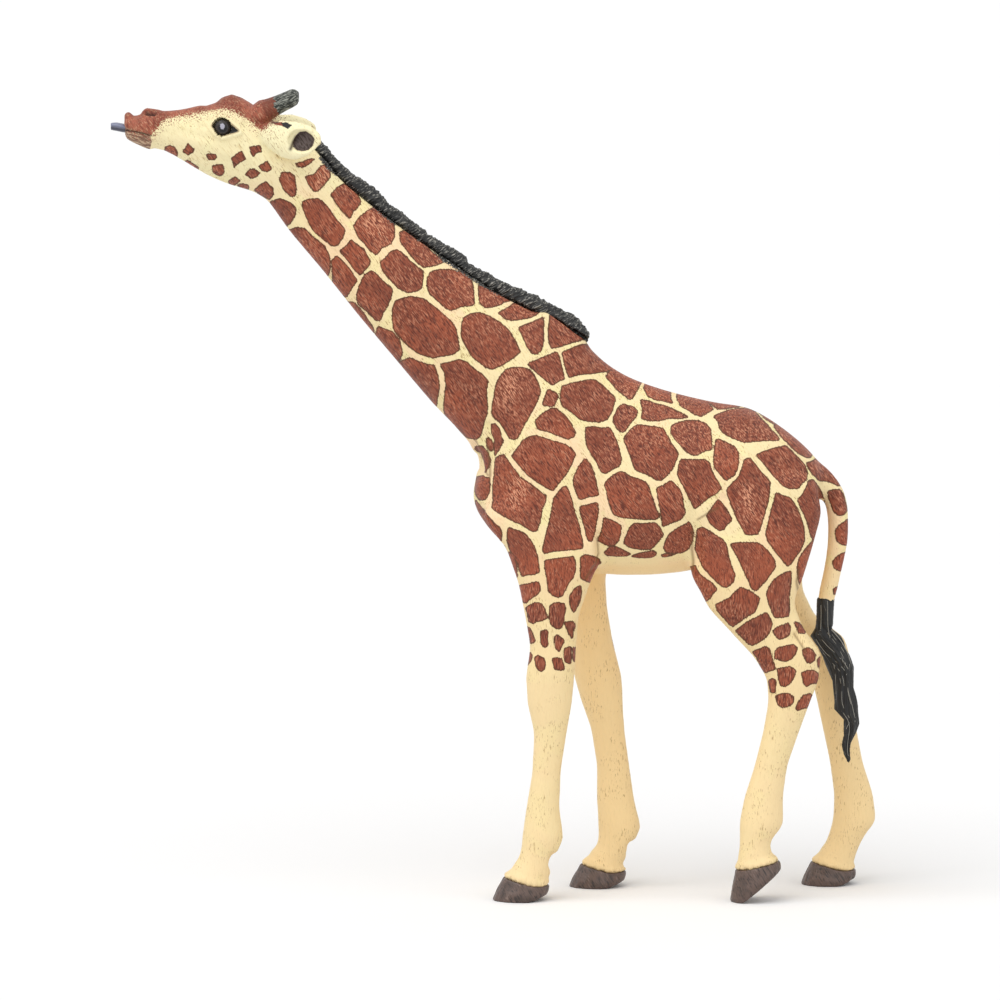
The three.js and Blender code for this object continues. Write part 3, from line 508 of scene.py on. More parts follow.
# Carved lines and swellings: a path in picture pixels, its width in pixels and its height in mm.
# Those that go around are carved whichever way the surface faces.
carving = {
    "shoulder edge": {"path": [(560, 345), (600, 420), (604, 470), (598, 520), (599, 556)],
                      "width": 5, "height": -0.45},
    "shoulder muscle": {"path": [(545, 400), (560, 450), (565, 500)], "width": 20, "height": 0.7},
    "elbow": {"path": [(590, 545), (597, 562)], "width": 6, "height": 0.5},
    "elbow fold": {"path": [(599, 535), (601, 552), (594, 570)], "width": 3, "height": -0.45},
    "forearm split": {"path": [(545, 560), (550, 620)], "width": 4, "height": -0.25},
    "breast": {"path": [(478, 485), (490, 515), (500, 540)], "width": 7, "height": 0.35},
    "chest fold": {"path": [(488, 425), (492, 450), (492, 475)], "width": 2.8, "height": -0.5},
    "throat fold": {"path": [(474, 445), (481, 470), (476, 478)], "width": 2.6, "height": -0.4},
    "armpit fold": {"path": [(503, 545), (512, 580), (516, 600)], "width": 2.6, "height": -0.3},
    "flank": {"path": [(700, 470), (693, 520), (697, 560)], "width": 7, "height": -0.7},
    "flank fold": {"path": [(700, 505), (715, 497), (728, 500)], "width": 3.5, "height": -0.25},
    "thigh": {"path": [(745, 470), (750, 530), (740, 590)], "width": 22, "height": 0.7},
    "hip bone": {"path": [(720, 425), (745, 420)], "width": 9, "height": 0.45},
    "croup": {"path": [(760, 455), (790, 470)], "width": 9, "height": -0.3},
    "rear of thigh": {"path": [(793, 560), (790, 600), (795, 640)], "width": 5, "height": -0.5},
    "hock string": {"path": [(797, 634), (802, 643), (806, 652)], "width": 3, "height": -0.5},
    "neck vein": {"path": [(300, 215), (350, 270), (410, 335), (460, 395)],
                  "width": 7, "height": -0.4},
    "withers": {"path": [(545, 319), (562, 329), (579, 341)], "width": 9, "height": 1.3, "around": True},
    "throat notch": {"path": [(477, 455), (479, 468)], "width": 4, "height": -0.8, "around": True},
    "pastern": {"path": [(554, 857), (554, 866)], "width": 4.5, "height": -1.1, "around": True},
}
faceCarving = {
    "nose bump": {"path": [(147, 110), (158, 110)], "width": 4, "height": 0.25, "around": True},
    "nose dip": {"path": [(134, 114), (139, 112.5)], "width": 3.6, "height": -0.6, "around": True},
    "nose tip": {"path": [(126, 115), (129, 113.5)], "width": 3, "height": 0.3, "around": True},
    "horn corner": {"path": [(291, 88), (294, 88)], "width": 4, "height": 0.35, "around": True},
    "forehead": {"path": [(207, 104.5), (216, 103.5)], "width": 5, "height": -0.4, "around": True},
    "chin": {"path": [(129, 138), (138, 144.5), (149, 148)], "width": 4, "height": 0.42, "around": True},
    "cheek": {"path": [(190, 140), (215, 150), (245, 158)], "width": 6, "height": 0.22},
    "brow": {"path": [(211, 116), (221, 112), (232, 115), (240, 121)], "width": 3.2, "height": 0.4},
    "lower lid": {"path": [(208, 127), (214, 134), (222, 138.5), (232, 136.5), (241, 133)],
                  "width": 1.8, "height": 0.22},
    "tear groove": {"path": [(190, 124), (200, 126), (208, 127)], "width": 2.4, "height": -0.18},
    "mouth line": {"path": [(125, 130), (137, 132.5), (150, 136), (153, 137)],
                   "width": 1.2, "height": -0.3},
    "nostril": {"path": [(146.5, 113.4), (154.5, 114)], "width": 1.5, "height": -0.75},
    "nostril rim": {"path": [(142, 112), (147, 109.5), (155, 110.5)], "width": 2, "height": 0.18},
    "muzzle hollow": {"path": [(134, 118), (141, 114)], "width": 2.5, "height": -0.2},
    "ear crease": {"path": [(272, 152), (282, 155), (291, 160)], "width": 2.5, "height": -0.18},
    "jaw": {"path": [(190, 158), (215, 170), (240, 178)], "width": 4, "height": 0.12},
    "cheek hollow": {"path": [(165, 132), (185, 132), (205, 138)], "width": 5, "height": -0.15},
}
# Dark painted lines on the head: a path and its width in pixels.
inkLines = [
    {"path": [(123, 130), (137, 132.5), (151, 136)], "width": 0.9},
    {"path": [(124, 129), (126, 130.5)], "width": 1.2},
    {"path": [(146.5, 113.4), (155, 114)], "width": 1.5},
    {"path": [(290.5, 149), (292.5, 143), (295.5, 137.5)], "width": 1.9},
    {"path": [(272, 123), (278, 122.5)], "width": 0.8},
]
# Creases that keep some dark wash, which is partly painted shade.
washAndShadeLines = [
    {"path": [(487.5, 446), (489, 462), (489.5, 479)], "width": 1},
    {"path": [(477.7, 458), (483, 466), (487.5, 475)], "width": 0.9},
    {"path": [(598, 539), (600, 555), (593, 567), (586, 578)], "width": 1.1},
    {"path": [(692.5, 531), (691, 550), (692.5, 570)], "width": 1.2},
    {"path": [(698, 520), (708, 513), (718, 508)], "width": 1},
    {"path": [(799, 570), (797, 582), (799, 595)], "width": 1.2},
    {"path": [(796, 633), (801, 642), (806.5, 652)], "width": 1.1},
    {"path": [(504, 546), (511, 568), (515, 590)], "width": 1},
    {"path": [(475, 440), (480, 450), (481, 458)], "width": 0.9},
]
# Places on withers, neck, thigh and shoulder where a painted sheen makes the patches lighter.
sheenPlaces = [
    {"path": [(506, 400), (516, 380)], "width": 14},
    {"path": [(372, 222), (384, 240)], "width": 11},
    {"path": [(748, 490), (752, 510)], "width": 9},
    {"path": [(322, 172), (318, 184)], "width": 8},
    {"path": [(520, 480), (515, 505)], "width": 9},
]


def fromPath(spots, path):
    # How far picture points lie from a line through a path's points, in pixels.
    gap = np.full(len(spots), np.inf)
    for start, end in zip(np.array(path[:-1], float), np.array(path[1:], float)):
        along = end - start
        share = np.clip((spots - start) @ along / (along @ along), 0, 1)
        gap = np.minimum(gap, np.linalg.norm(spots - start - share[:, None] * along, axis=1))
    return gap


# Which points belong to a hind leg and to an outer side, up to which height, and how far beside a
# leg and above it points still move with it.
legSplit = {"behind": 36, "outside": 4.5, "top": 68, "fade": 90, "beside": 12, "step": 2}


def legEdges(points, side):
    # The front and rear of the fore and the hind leg on one side, at heights up to the belly.
    setup = legSplit
    heights = np.arange(setup["step"] * 2, setup["top"] + 1, setup["step"])
    edges = []
    for behind in [False, True]:
        own = points[(points[:, 1] * side > setup["outside"]) & ((points[:, 0] > setup["behind"]) == behind)]
        bands = [own[np.abs(own[:, 2] - height) < setup["step"], 0] for height in heights]
        known = [index for index, band in enumerate(bands) if len(band)]
        edges.append((
            heights[known], [bands[index].min() for index in known],
            [bands[index].max() for index in known],
        ))
    return edges


def onNearSide(points, nearLegs, farLegs):
    # Moves the far legs onto the near ones, so that both sides can share one set of outlines.
    moved = points.copy()
    fade = (points[:, 1] > 0) * (1 - smoothStep(points[:, 2], legSplit["top"], legSplit["fade"]))
    for near, far in zip(nearLegs, farLegs):
        farFront, farRear = (np.interp(points[:, 2], far[0], edge) for edge in far[1:])
        nearFront, nearRear = (np.interp(points[:, 2], near[0], edge) for edge in near[1:])
        inside = np.clip(points[:, 0], farFront, farRear)
        share = (inside - farFront) / (farRear - farFront)
        beside = 1 - smoothStep(np.abs(points[:, 0] - inside), 0, legSplit["beside"])
        moved[:, 0] += fade * beside * (nearFront + share * (nearRear - nearFront) - inside)
    return moved


# How far the surface has to face out to its own side for each kind of work. 1 is straight out.
facingOut = {"carved": (0.05, 0.45), "hollowed": (0.05, 0.3), "painted": 0.05, "inked": -0.15}


def sideFacing(points, normals):
    # How far the surface faces out to its own side.
    return normals[:, 1] * np.where(points[:, 1] < 0, -1, 1)


def carve(cast, strokes, spots):
    points, normals = pointsOf(cast), normalsOf(cast)
    outward = smoothStep(sideFacing(points, normals), *facingOut["carved"])
    lift = np.zeros(len(points))
    for stroke in strokes.values():
        gap = fromPath(spots, stroke["path"]) / stroke["width"]
        lift += stroke["height"] * np.exp(-gap * gap) * (1 if stroke.get("around") else outward)
    movePoints(cast, points + lift[:, None] * normals)


# Hollows inside outlines, in mm, the mane's with a depth below zero, and the rims round them.
hollows = {
    "ear": {"outline": "earInside", "depth": 0.55, "over": 0.8, "rim": 0.16, "rimWidth": 0.35},
    "eye": {"outline": "eyeRim", "depth": 0, "over": 1, "rim": 0.4, "rimWidth": 0.42},
    "mane": {"outline": "maneRoot", "depth": -0.35, "over": 0.7, "rim": 0, "rimWidth": 1},
}
earRoot = {"out": 6.8, "before": -33}  # where the ears meet the head, in y and in x
earBack = 0.5  # mm that the ears' backs are raised behind their openings
hornEnd = {"above": 167.5, "limit": -41.95, "kept": 0.12}


def bluntHorns(points):
    # Presses the horns' rear corner nearly flat.
    past = np.maximum(points[:, 0] - hornEnd["limit"], 0) * (points[:, 2] > hornEnd["above"])
    moved = points.copy()
    moved[:, 0] -= past * (1 - hornEnd["kept"])
    return moved


def hollowOut(cast, spots):
    # Sinks the ears' openings, raises their rims and backs, the eyes' rims and the mane's root hair.
    points, normals = pointsOf(cast), normalsOf(cast)
    facing = sideFacing(points, normals)
    lift = np.zeros(len(points))
    for hollow in hollows.values():
        inside = insideBy(spots, faceOutlines[hollow["outline"]]) * pixel
        rim = (inside + hollow["rimWidth"]) / hollow["rimWidth"]
        lift += hollow["rim"] * np.exp(-rim * rim)
        lift -= hollow["depth"] * smoothStep(inside, 0, hollow["over"])
    lift *= smoothStep(facing, *facingOut["hollowed"])
    cup = insideBy(spots, faceOutlines["earInside"]) * pixel
    onEar = np.abs(points[:, 1]) > earRoot["out"]
    behind = smoothStep(-facing, *facingOut["hollowed"]) * onEar
    lift += earBack * behind * smoothStep(cup, 0, hollows["ear"]["over"])
    movePoints(cast, bluntHorns(points + lift[:, None] * normals))


coatPlaces = {
    "innerFaces": (0.1, 0.45),  # how far a leg's inner face turns away until it is plain
    "legTop": (66, 80),
    "under": (0.62, 0.85),  # how far the belly faces down until it is plain
    "underTop": 86,
    "spread": 0.26,  # mm by which the patches reach past their outlines
    "spreadOnHead": 0.06,
    "headFrom": (145, 151),
    "erased": 4,  # mm taken off the distances where the coat is plain
    "nowhere": -3,  # the distance written where a paint can't be
}
# The cream line down the front of the chest, between the patches of both sides.
chestLine = {
    "forward": (0.55, 0.85),  # how far the surface faces forward
    "from": (82, 86),
    "to": (106, 111),
    "half": 1.2,
    "ragged": 0.35,
    "waves": {1.3: 1, 3.1: 0.5},  # radians per mm of height, and their shares
}


def fromChestLine(points, normals):
    # How far points lie beside the chest's cream line, which fades out round the chest's front.
    height = points[:, 2]
    front = smoothStep(-normals[:, 0], *chestLine["forward"]) * smoothStep(height, *chestLine["from"])
    front = front * (1 - smoothStep(height, *chestLine["to"]))
    edge = sum(share * np.sin(wave * height) for wave, share in chestLine["waves"].items())
    half = chestLine["half"] + chestLine["ragged"] * edge
    return np.abs(points[:, 1]) - half + coatPlaces["erased"] * (1 - front)


def paintMap(cast, spots):
    # Where each paint lies, as distances in mm that are above zero inside its outline, or as shares.
    points, normals = pointsOf(cast), normalsOf(cast)
    facing = sideFacing(points, normals)
    setup = coatPlaces
    legs = 1 - smoothStep(points[:, 2], *setup["legTop"])
    inner = legs * smoothStep(-facing, *setup["innerFaces"])
    under = smoothStep(-normals[:, 2], *setup["under"]) * (points[:, 2] < setup["underTop"])
    plain = np.maximum(inner, under)
    outlines = [outline for group in coatPatches.values() for outline in group]
    coat = np.max([insideBy(spots, outline) for outline in outlines], 0) * pixel
    onHead = smoothStep(points[:, 2], *setup["headFrom"])
    spread = setup["spread"] + onHead * (setup["spreadOnHead"] - setup["spread"])
    coat = np.minimum(coat + spread - setup["erased"] * plain, fromChestLine(points, normals))
    writeValue(cast, "coat", coat)
    # Where the coat is plain, on the legs' inner faces and under the belly, a tan goes that is partly paint
    # and partly painted shade.
    writeValue(cast, "tanAndShade", plain)
    # How far the surface faces up, for the painted sheen on the patches.
    writeValue(cast, "upward", normals[:, 2])
    outward = facing > facingOut["painted"]
    nearSide = points[:, 1] < 0
    kept = {
        "eyeRim": outward,
        "earInside": outward,
        "pollMark": nearSide,
        "pollLine": nearSide,
        "maneRoot": np.abs(points[:, 1]) < earRoot["out"],
    }
    for name, outline in faceOutlines.items():
        inside = insideBy(spots, outline) * pixel
        writeValue(cast, name, np.where(kept.get(name, True), inside, setup["nowhere"]))
    for name, lines in {"ink": inkLines, "washAndShade": washAndShadeLines, "paintedSheen": sheenPlaces}.items():
        marks = sum(np.exp(-(fromPath(spots, line["path"]) / line["width"]) ** 2) for line in lines)
        writeValue(cast, name, np.clip(marks, 0, 1) * (facing > facingOut["inked"]))


cutting = {"reach": 1, "same": 0.0001}  # mm to both sides of a cut, and between points that are one


def cutAcross(cast, at, facing, near):
    # Cuts the faces near a place along a plane, and parts the mesh there.
    selectOnly(cast)
    centres = readArray(cast.data.polygons, "center", 3) / mm
    chosen = near(centres) & (np.abs((centres - at) @ np.array(facing)) < cutting["reach"])
    bpy.context.tool_settings.mesh_select_mode = (False, False, True)
    for items in (cast.data.vertices, cast.data.edges):
        items.foreach_set("select", np.zeros(len(items), bool))
    cast.data.polygons.foreach_set("select", chosen)
    bpy.ops.object.mode_set(mode="EDIT")
    bpy.ops.mesh.select_mode(type="EDGE")
    bpy.ops.mesh.bisect(plane_co=Vector(at) * mm, plane_no=facing, threshold=cutting["same"] * mm)
    bpy.ops.mesh.edge_split(type="EDGE")
    bpy.ops.object.mode_set(mode="OBJECT")


def partsOf(cast, nodes):
    # Separates a parted mesh, and finds the part that lies on each node.
    editAll(cast, lambda: bpy.ops.mesh.separate(type="LOOSE"))
    left = {part: pointsOf(part) for part in bpy.context.selected_objects}
    found = {}
    for node in nodes:
        box = np.array(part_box(node)) / mm
        misses = {part: np.abs(box - [points.min(0), points.max(0)]).sum() for part, points in left.items()}
        found[node] = min(misses, key=misses.get)
        left.pop(found[node])
    for part in left:
        bpy.data.objects.remove(part)
    return found


def closeUp(piece):
    editAll(
        piece, lambda: bpy.ops.mesh.fill_holes(sides=0),
        lambda: bpy.ops.mesh.normals_make_consistent(inside=False),
    )
    bpy.ops.object.shade_smooth_by_angle(angle=math.radians(meshing["smoothAngle"]))


def settle(piece, name, node, material):
    # A finished piece stands for its node, rides on the figure's one body and gets its paint.
    piece.name = name
    piece.data.name = name
    piece.data.materials.clear()
    piece.data.materials.append(material)
    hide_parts(node)
    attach(piece, "root")


# The body and head are cast whole, so that their forms run on across the joints, and then parted
# where the mouldings meet.
bodyCast = {"swell": 0.2, "grid": 0.36, "blur": 1.7, "detail": 0.08, "tailEnd": (66, 70), "tailHalf": 4}
headCast = {
    "swell": 0.2, "grid": 0.18, "blur": 1.3, "detail": 0.12,
    "slant": 0.9, "softening": (-195, -180),
    "neckKept": 9.5,  # mm of the neck behind the head's joint
    "match": 4, "matchLevels": 10,  # mm round the joint where both casts are one surface
}
legs = ["left_foreleg", "right_foreleg", "left_hind_leg", "right_hind_leg"]
ears = ["left_ear", "right_ear"]
horns = ["left_ossicone", "right_ossicone"]


poll = {"above": 140, "half": 8}


def atPoll(points):
    # The top of the neck, without the ears' tips, which reach back past its seam.
    return (points[:, 2] > poll["above"]) & (np.abs(points[:, 1]) < poll["half"])


# Each joint's cut: a point of its plane, the way it faces, and the faces that it may part.
joints = {
    "head": {"at": (-44.3, 0, 156.45), "facing": (0.752, 0, -0.659), "near": atPoll},
    "neck": {"at": (7.15, 0, 105.2), "facing": (0.796, 0, -0.605), "near": lambda place: place[:, 2] > 86},
    "legs": {"at": (0, 0, 68), "facing": (0, 0, 1), "near": lambda place: place[:, 0] < 69.5},
    "tail": {"at": (74, 0, 84), "facing": (0, 0, 1), "near": lambda place: place[:, 0] > 70},
    "horns": {
        "at": (-47.6, 0, 170.3), "facing": (0.871, 0, 0.491), "near": lambda place: place[:, 2] > 167.5,
    },
}
for ear, side in zip(ears, (-1, 1)):
    joints[ear] = {
        "at": (0, side * earRoot["out"], 0), "facing": (0, side, 0),
        "near": lambda place: place[:, 0] < earRoot["before"],
    }
bodyCuts = ["head", "neck", "legs", "tail"]
headCuts = ["head", *ears, "horns"]


def castBody():
    setup = bodyCast

    def looseness(points):
        # The end of the tail, which meets the tuft, keeps its width.
        tail = smoothStep(points[:, 0], *setup["tailEnd"]) * (np.abs(points[:, 1]) < setup["tailHalf"])
        low = 1 - smoothStep(points[:, 2], *setup["tailEnd"])
        return 1 - (1 - setup["detail"]) * tail * low

    return castFrom(["trunk", "neck", "head", *legs, "tail"], "bodyCast", setup, looseness)


def castHead():
    joint, setup = joints["head"], headCast
    kept = np.array(joint["at"]) + setup["neckKept"] * np.array(joint["facing"])

    def looseness(points):
        # The face keeps its detail, and the neck is smoothed as the body is.
        along = points[:, 0] - setup["slant"] * points[:, 2]
        return setup["detail"] + (1 - setup["detail"]) * smoothStep(along, *setup["softening"])

    return castFrom(
        ["neck", "head", *ears, *horns], "headCast", setup, looseness,
        {"at": kept, "facing": joint["facing"]},
    )


def matchAtPoll(cast, target):
    # Lays one cast's surface on the other's round the head's joint, so that no step shows there.
    joint, within = joints["head"], headCast["match"]
    points = pointsOf(cast)
    gap = np.abs((points - joint["at"]) @ np.array(joint["facing"]))
    weights = (1 - smoothStep(gap, within / 3, within)) * atPoll(points)
    weigh(cast, "near", weights, headCast["matchLevels"])
    selectOnly(cast)
    wrap = cast.modifiers.new("wrap", "SHRINKWRAP")
    wrap.target = target
    wrap.wrap_method = "NEAREST_SURFACEPOINT"
    wrap.vertex_group = "near"
    bpy.ops.object.modifier_apply(modifier=wrap.name)
    cast.vertex_groups.clear()


# The hair at a leg's foot laps over the hoof, and the heels are lower than the toes.
footSetup = {
    "top": 16, "reach": 2.4, "lap": 0.55,
    "tufts": {"size": (0.7, 0.7, 1.2), "height": 0.6},
    "beside": 1, "before": 3, "behind": 4,  # mm round a hoof that move with it
    "heelDrop": 1, "dropOver": (0.35, 1), "fade": 5,  # shares of the hoof's length, and mm above it
    "heelLift": 1.5, "liftOver": (0.62, 1.05),
}
flatHooves = ["left_fore_hoof", "right_fore_hoof", "right_hind_hoof"]
hooves = [*flatHooves, "left_hind_hoof"]


def lowerHeels(points):
    setup = footSetup
    moved = points.copy()
    x, y, z = points.T
    for node in flatHooves:
        (toe, outer, _), (heel, inner, top) = np.array(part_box(node)) / mm
        inside = (y > outer - setup["beside"]) & (y < inner + setup["beside"])
        inside &= (x > toe - setup["before"]) & (x < heel + setup["behind"]) & (z < setup["top"])
        share = (x - toe) / (heel - toe)
        above = 1 - smoothStep(z, top, top + setup["fade"])
        drop = smoothStep(share, *setup["dropOver"]) * above * np.clip(z / top, 0, 1)
        rise = smoothStep(share, *setup["liftOver"]) * np.clip(1 - z / top, 0, 1)
        moved[:, 2] += inside * (setup["heelLift"] * rise - setup["heelDrop"] * drop)
    return moved


def lapOverHooves(cast):
    setup = footSetup
    farthest = setup["reach"] * 2
    points, normals = pointsOf(cast), normalsOf(cast)
    low = np.flatnonzero(points[:, 2] < setup["top"])
    gap = np.full(len(low), np.inf)
    for node in hooves:
        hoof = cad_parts[node].data
        tree = BVHTree.FromPolygons(
            [vertex.co / mm for vertex in hoof.vertices], [face.vertices for face in hoof.polygons],
        )
        found = [tree.find_nearest(Vector(point), farthest)[3] for point in points[low]]
        gap = np.minimum(gap, [farthest if near is None else near for near in found])
    tufts = 1 + setup["tufts"]["height"] * pattern(points[low] / setup["tufts"]["size"])
    lift = setup["lap"] * tufts * (1 - smoothStep(gap, 0, setup["reach"]))
    points[low] += lift[:, None] * normals[low]
    movePoints(cast, points)


def makeSkins():
    body = castBody()
    lapOverHooves(body)
    movePoints(body, lowerHeels(pointsOf(body)))
    head = castHead()
    matchAtPoll(body, head)
    nearLegs, farLegs = (legEdges(pointsOf(body), side) for side in (-1, 1))
    for cast, strokes in [(body, carving), (head, carving | faceCarving)]:
        spots = toPicture(onNearSide(pointsOf(cast), nearLegs, farLegs))
        carve(cast, strokes, spots)
        hollowOut(cast, spots)
        paintMap(cast, spots)
    print("coat mapped")

    for cast, cuts in [(body, bodyCuts), (head, headCuts)]:
        for cut in cuts:
            cutAcross(cast, **joints[cut])
    skins = partsOf(body, ["trunk", "neck", "tail", *legs]) | partsOf(head, ["head", *ears, *horns])
    for skin in skins.values():
        closeUp(skin)
    print("skins parted:", len(skins))
    return skins


def pattern(coordinates):
    # Blender's own noise at each row of coordinates, about -1 to 1.
    return np.array([noise.fractal(Vector(row), 1, 2, 1) for row in coordinates])


def drawnOut(points, angle, lengths):
    # Coordinates for a pattern drawn out along a slope in the side view.
    turn = math.radians(angle)
    along = points[:, 0] * math.cos(turn) + points[:, 2] * math.sin(turn)
    across = points[:, 2] * math.cos(turn) - points[:, 0] * math.sin(turn)
    return np.stack([along / lengths[0], points[:, 1] / lengths[1], across / lengths[2]], 1)


def spans(along, across, places, half):
    # The lowest and highest value across a piece, in bands round places along it.
    bands = [across[np.abs(along - place) < half] for place in places]
    return [band.min() for band in bands], [band.max() for band in bands]


maneSetup = {
    "cast": {"swell": 0, "grid": 0.17, "blur": 0.42},
    "slope": 30,  # of its strands
    "locks": {"lengths": (4.5, 1.4, 0.9), "height": 0.26},
    "strands": {"lengths": (2.2, 0.7, 0.36), "height": 0.24},
    "axis": 37.2,  # degrees down from the poll to the withers, in the picture
    "step": 2, "bandHalf": 1.5, "thinnest": 0.3,  # pixels
    "hook": {"below": 326, "from": (560, 571), "lean": 0.45},  # the end leans back down to a tip
    # The end's sides sink into the withers, more so the lower they are.
    "footIn": {"most": 0.85, "from": (560, 590), "below": (-0.5, 3)},
    "crest": [(323, 142.8), (329, 149), (336, 158), (344.5, 166), (354, 174), (366, 182), (377, 190),
              (381, 194), (385, 199.5), (391, 205.5), (401.5, 211.5), (409, 218), (417, 225), (426.5, 231),
              (427.5, 234), (442, 242), (456.5, 250), (466.6, 256.5), (468, 262.5), (484, 271),
              (505, 282.5), (526.5, 291), (527.5, 293.5), (534, 293.5), (545, 301), (561.5, 308.5),
              (563.5, 311), (571, 312.5), (579, 319), (584, 325.5), (586.5, 333), (587.6, 341)],
    "foot": [(320, 160.6), (333, 175), (344.5, 181), (355.7, 190), (371, 206), (391, 222.5), (415, 238),
             (427, 245.5), (442, 259), (467, 275), (488, 288), (505, 297.5), (520, 303), (532.5, 310),
             (545, 315.5), (557.5, 318.5), (572.5, 327.5), (580, 334), (587.6, 341.3)],
}


def shapeMane(points):
    # Draws the mane's crest to its outline in the picture, with the hook at its end.
    setup = maneSetup
    turn = math.radians(setup["axis"])
    axis = np.array([[math.cos(turn), math.sin(turn)], [math.sin(turn), -math.cos(turn)]])
    along, across = (toPicture(points) @ axis.T).T
    crest, foot = (np.array(setup[edge]) @ axis.T for edge in ("crest", "foot"))
    places = np.arange(along.min() + setup["step"], along.max() - setup["step"] / 2, setup["step"])
    _, tops = spans(along, across, places, setup["bandHalf"])
    low = np.interp(along, foot[:, 0], foot[:, 1])
    oldTop = np.interp(along, places, tops)
    newTop = np.maximum(np.interp(along, crest[:, 0], crest[:, 1]), low + setup["thinnest"])
    rise = np.maximum(across - low, 0) * ((newTop - low) / np.maximum(oldTop - low, 1) - 1)
    past = np.maximum(along - crest[-1, 0], 0)
    change = np.outer(rise, axis[1]) - np.outer(past, axis[0])
    spots = toPicture(points + onFigure(change))
    hook, footIn = setup["hook"], setup["footIn"]
    below = np.maximum(spots[:, 1] - hook["below"], 0) * smoothStep(spots[:, 0], *hook["from"])
    change[:, 0] += hook["lean"] * below
    moved = points + onFigure(change)
    sunk = smoothStep(low - across, *footIn["below"]) * smoothStep(along, *footIn["from"])
    moved[:, 1] *= 1 - footIn["most"] * sunk
    return moved


def makeMane():
    setup = maneSetup
    mane = castFrom(["mane"], "maneCast", setup["cast"])
    movePoints(mane, shapeMane(pointsOf(mane)))
    points = pointsOf(mane)
    lift = np.zeros(len(points))
    for layer in (setup["locks"], setup["strands"]):
        lift += layer["height"] * pattern(drawnOut(points, setup["slope"], layer["lengths"]))
    movePoints(mane, points + lift[:, None] * normalsOf(mane))
    writeValue(mane, "ridge", lift / setup["strands"]["height"])
    return mane


tuftSetup = {
    "cast": {"swell": 0, "grid": 0.17, "blur": 0.5},
    # The hair is wrapped above a height, over some mm, and moves less and swells there.
    "band": {"foot": 57.5, "over": 1.5, "held": 0.75, "swell": 0.12},
    "slice": {"step": 1, "half": 0.6},
    "outlineStep": 2, "bandHalf": 1.5,  # pixels
    "twist": 0.05,  # radians per mm of height
    "sway": 0.6, "swayLength": 4.6,
    "locks": {"count": 1.6, "length": 8, "height": 0.5},
    "strands": {"count": 5.2, "length": 6, "height": 0.26},
    # A hair that stands off at the rear, as places in x and z, and its y.
    "strayHair": [(72.6, 57.6), (74.6, 55.6), (76, 53), (76.9, 50.4), (77.2, 48.6)],
    "strayRadius": 0.1,
    "strayOut": -1.2,
    "front": [(817.5, 598), (816, 629), (811, 636), (823.5, 657.5), (829, 672), (832.5, 681),
              (833.5, 709), (844.5, 719.5), (844.5, 735), (842, 744.5), (844, 754), (847.8, 762)],
    "rear": [(834, 598), (832.5, 630), (838, 634), (844.5, 643), (850, 654), (853.7, 667), (853.2, 688),
             (857.5, 706), (859, 723.5), (855, 734), (851, 743), (850, 751), (850.5, 759), (849.5, 762)],
    # Single strands that catch the light, painted pale as a painted highlight, as paths in the picture.
    "strandRadius": 0.058, "strandLift": 0.02, "strandLight": 14,
    "strandPaths": [
        [(818, 634), (822.6, 640.5), (829, 648.4), (838.4, 654.7), (844.7, 662.6), (847.9, 669)],
        [(816, 639), (821.4, 649), (830.5, 657.9), (840, 664.2), (844.7, 670.5)],
        [(823.5, 653), (830.5, 661), (838.4, 669), (843.2, 675.3), (844, 686)],
        [(832, 634.5), (840, 645.3), (846.3, 654.7), (849.5, 667.4), (846.3, 675)],
        [(827.4, 632.6), (835.3, 642), (843.2, 654.7), (845.5, 664)],
        [(849.5, 664), (850.3, 673.7), (847, 686.3), (847.9, 694), (851, 704)],
        [(840, 678.4), (842.4, 689.5), (840.8, 699), (843.2, 708.4), (849.5, 717.9)],
        [(847.9, 689.5), (851, 702), (854.2, 711.6), (855, 722)],
        [(836, 699), (840, 709), (847.9, 717.9), (850.3, 725.8), (849, 735)],
        [(846.3, 729), (849.5, 720.5), (855.8, 717)],
        [(849.5, 730.5), (847.9, 740), (846.3, 749.5), (848.3, 756)],
        [(821, 605), (821.4, 618), (820.7, 629)],
        [(827.4, 601), (828.2, 612), (826.4, 627), (830, 638)],
        [(834, 665), (836.5, 680), (836, 694)],
        [(820, 630), (826, 637), (833, 652), (841, 659)],
    ],
}


def shapeTuft(points):
    # Draws the tuft's front and rear to their outlines in the picture.
    setup = tuftSetup
    front, rear = np.array(setup["front"]), np.array(setup["rear"])
    across, along = toPicture(points).T
    top, bottom = along.min(), along.max()
    places = np.arange(top + setup["outlineStep"] / 2, bottom, setup["outlineStep"])
    oldFront, oldRear = (
        np.interp(along, places, edge) for edge in spans(along, across, places, setup["bandHalf"])
    )
    down = front[0, 1] + (along - top) / (bottom - top) * (front[-1, 1] - front[0, 1])
    newFront, newRear = (np.interp(down, edge[:, 1], edge[:, 0]) for edge in (front, rear))
    share = np.clip((across - oldFront) / np.maximum(oldRear - oldFront, 1), 0, 1)
    back = newFront + share * (newRear - newFront) - across
    return points + onFigure(np.stack([back, down - along], 1))


def makeStrand(places, radius):
    # A single hair through places in metres.
    curve = bpy.data.curves.new("strand", "CURVE")
    curve.dimensions = "3D"
    curve.bevel_depth = radius * mm
    curve.bevel_resolution = 1
    curve.use_fill_caps = True
    spline = curve.splines.new("NURBS")
    spline.points.add(len(places) - 1)
    spline.use_endpoint_u = True
    for point, place in zip(spline.points, places):
        point.co = (*place, 1)
    strand = bpy.data.objects.new("strand", curve)
    bpy.context.collection.objects.link(strand)
    selectOnly(strand)
    bpy.ops.object.convert(target="MESH")
    return strand


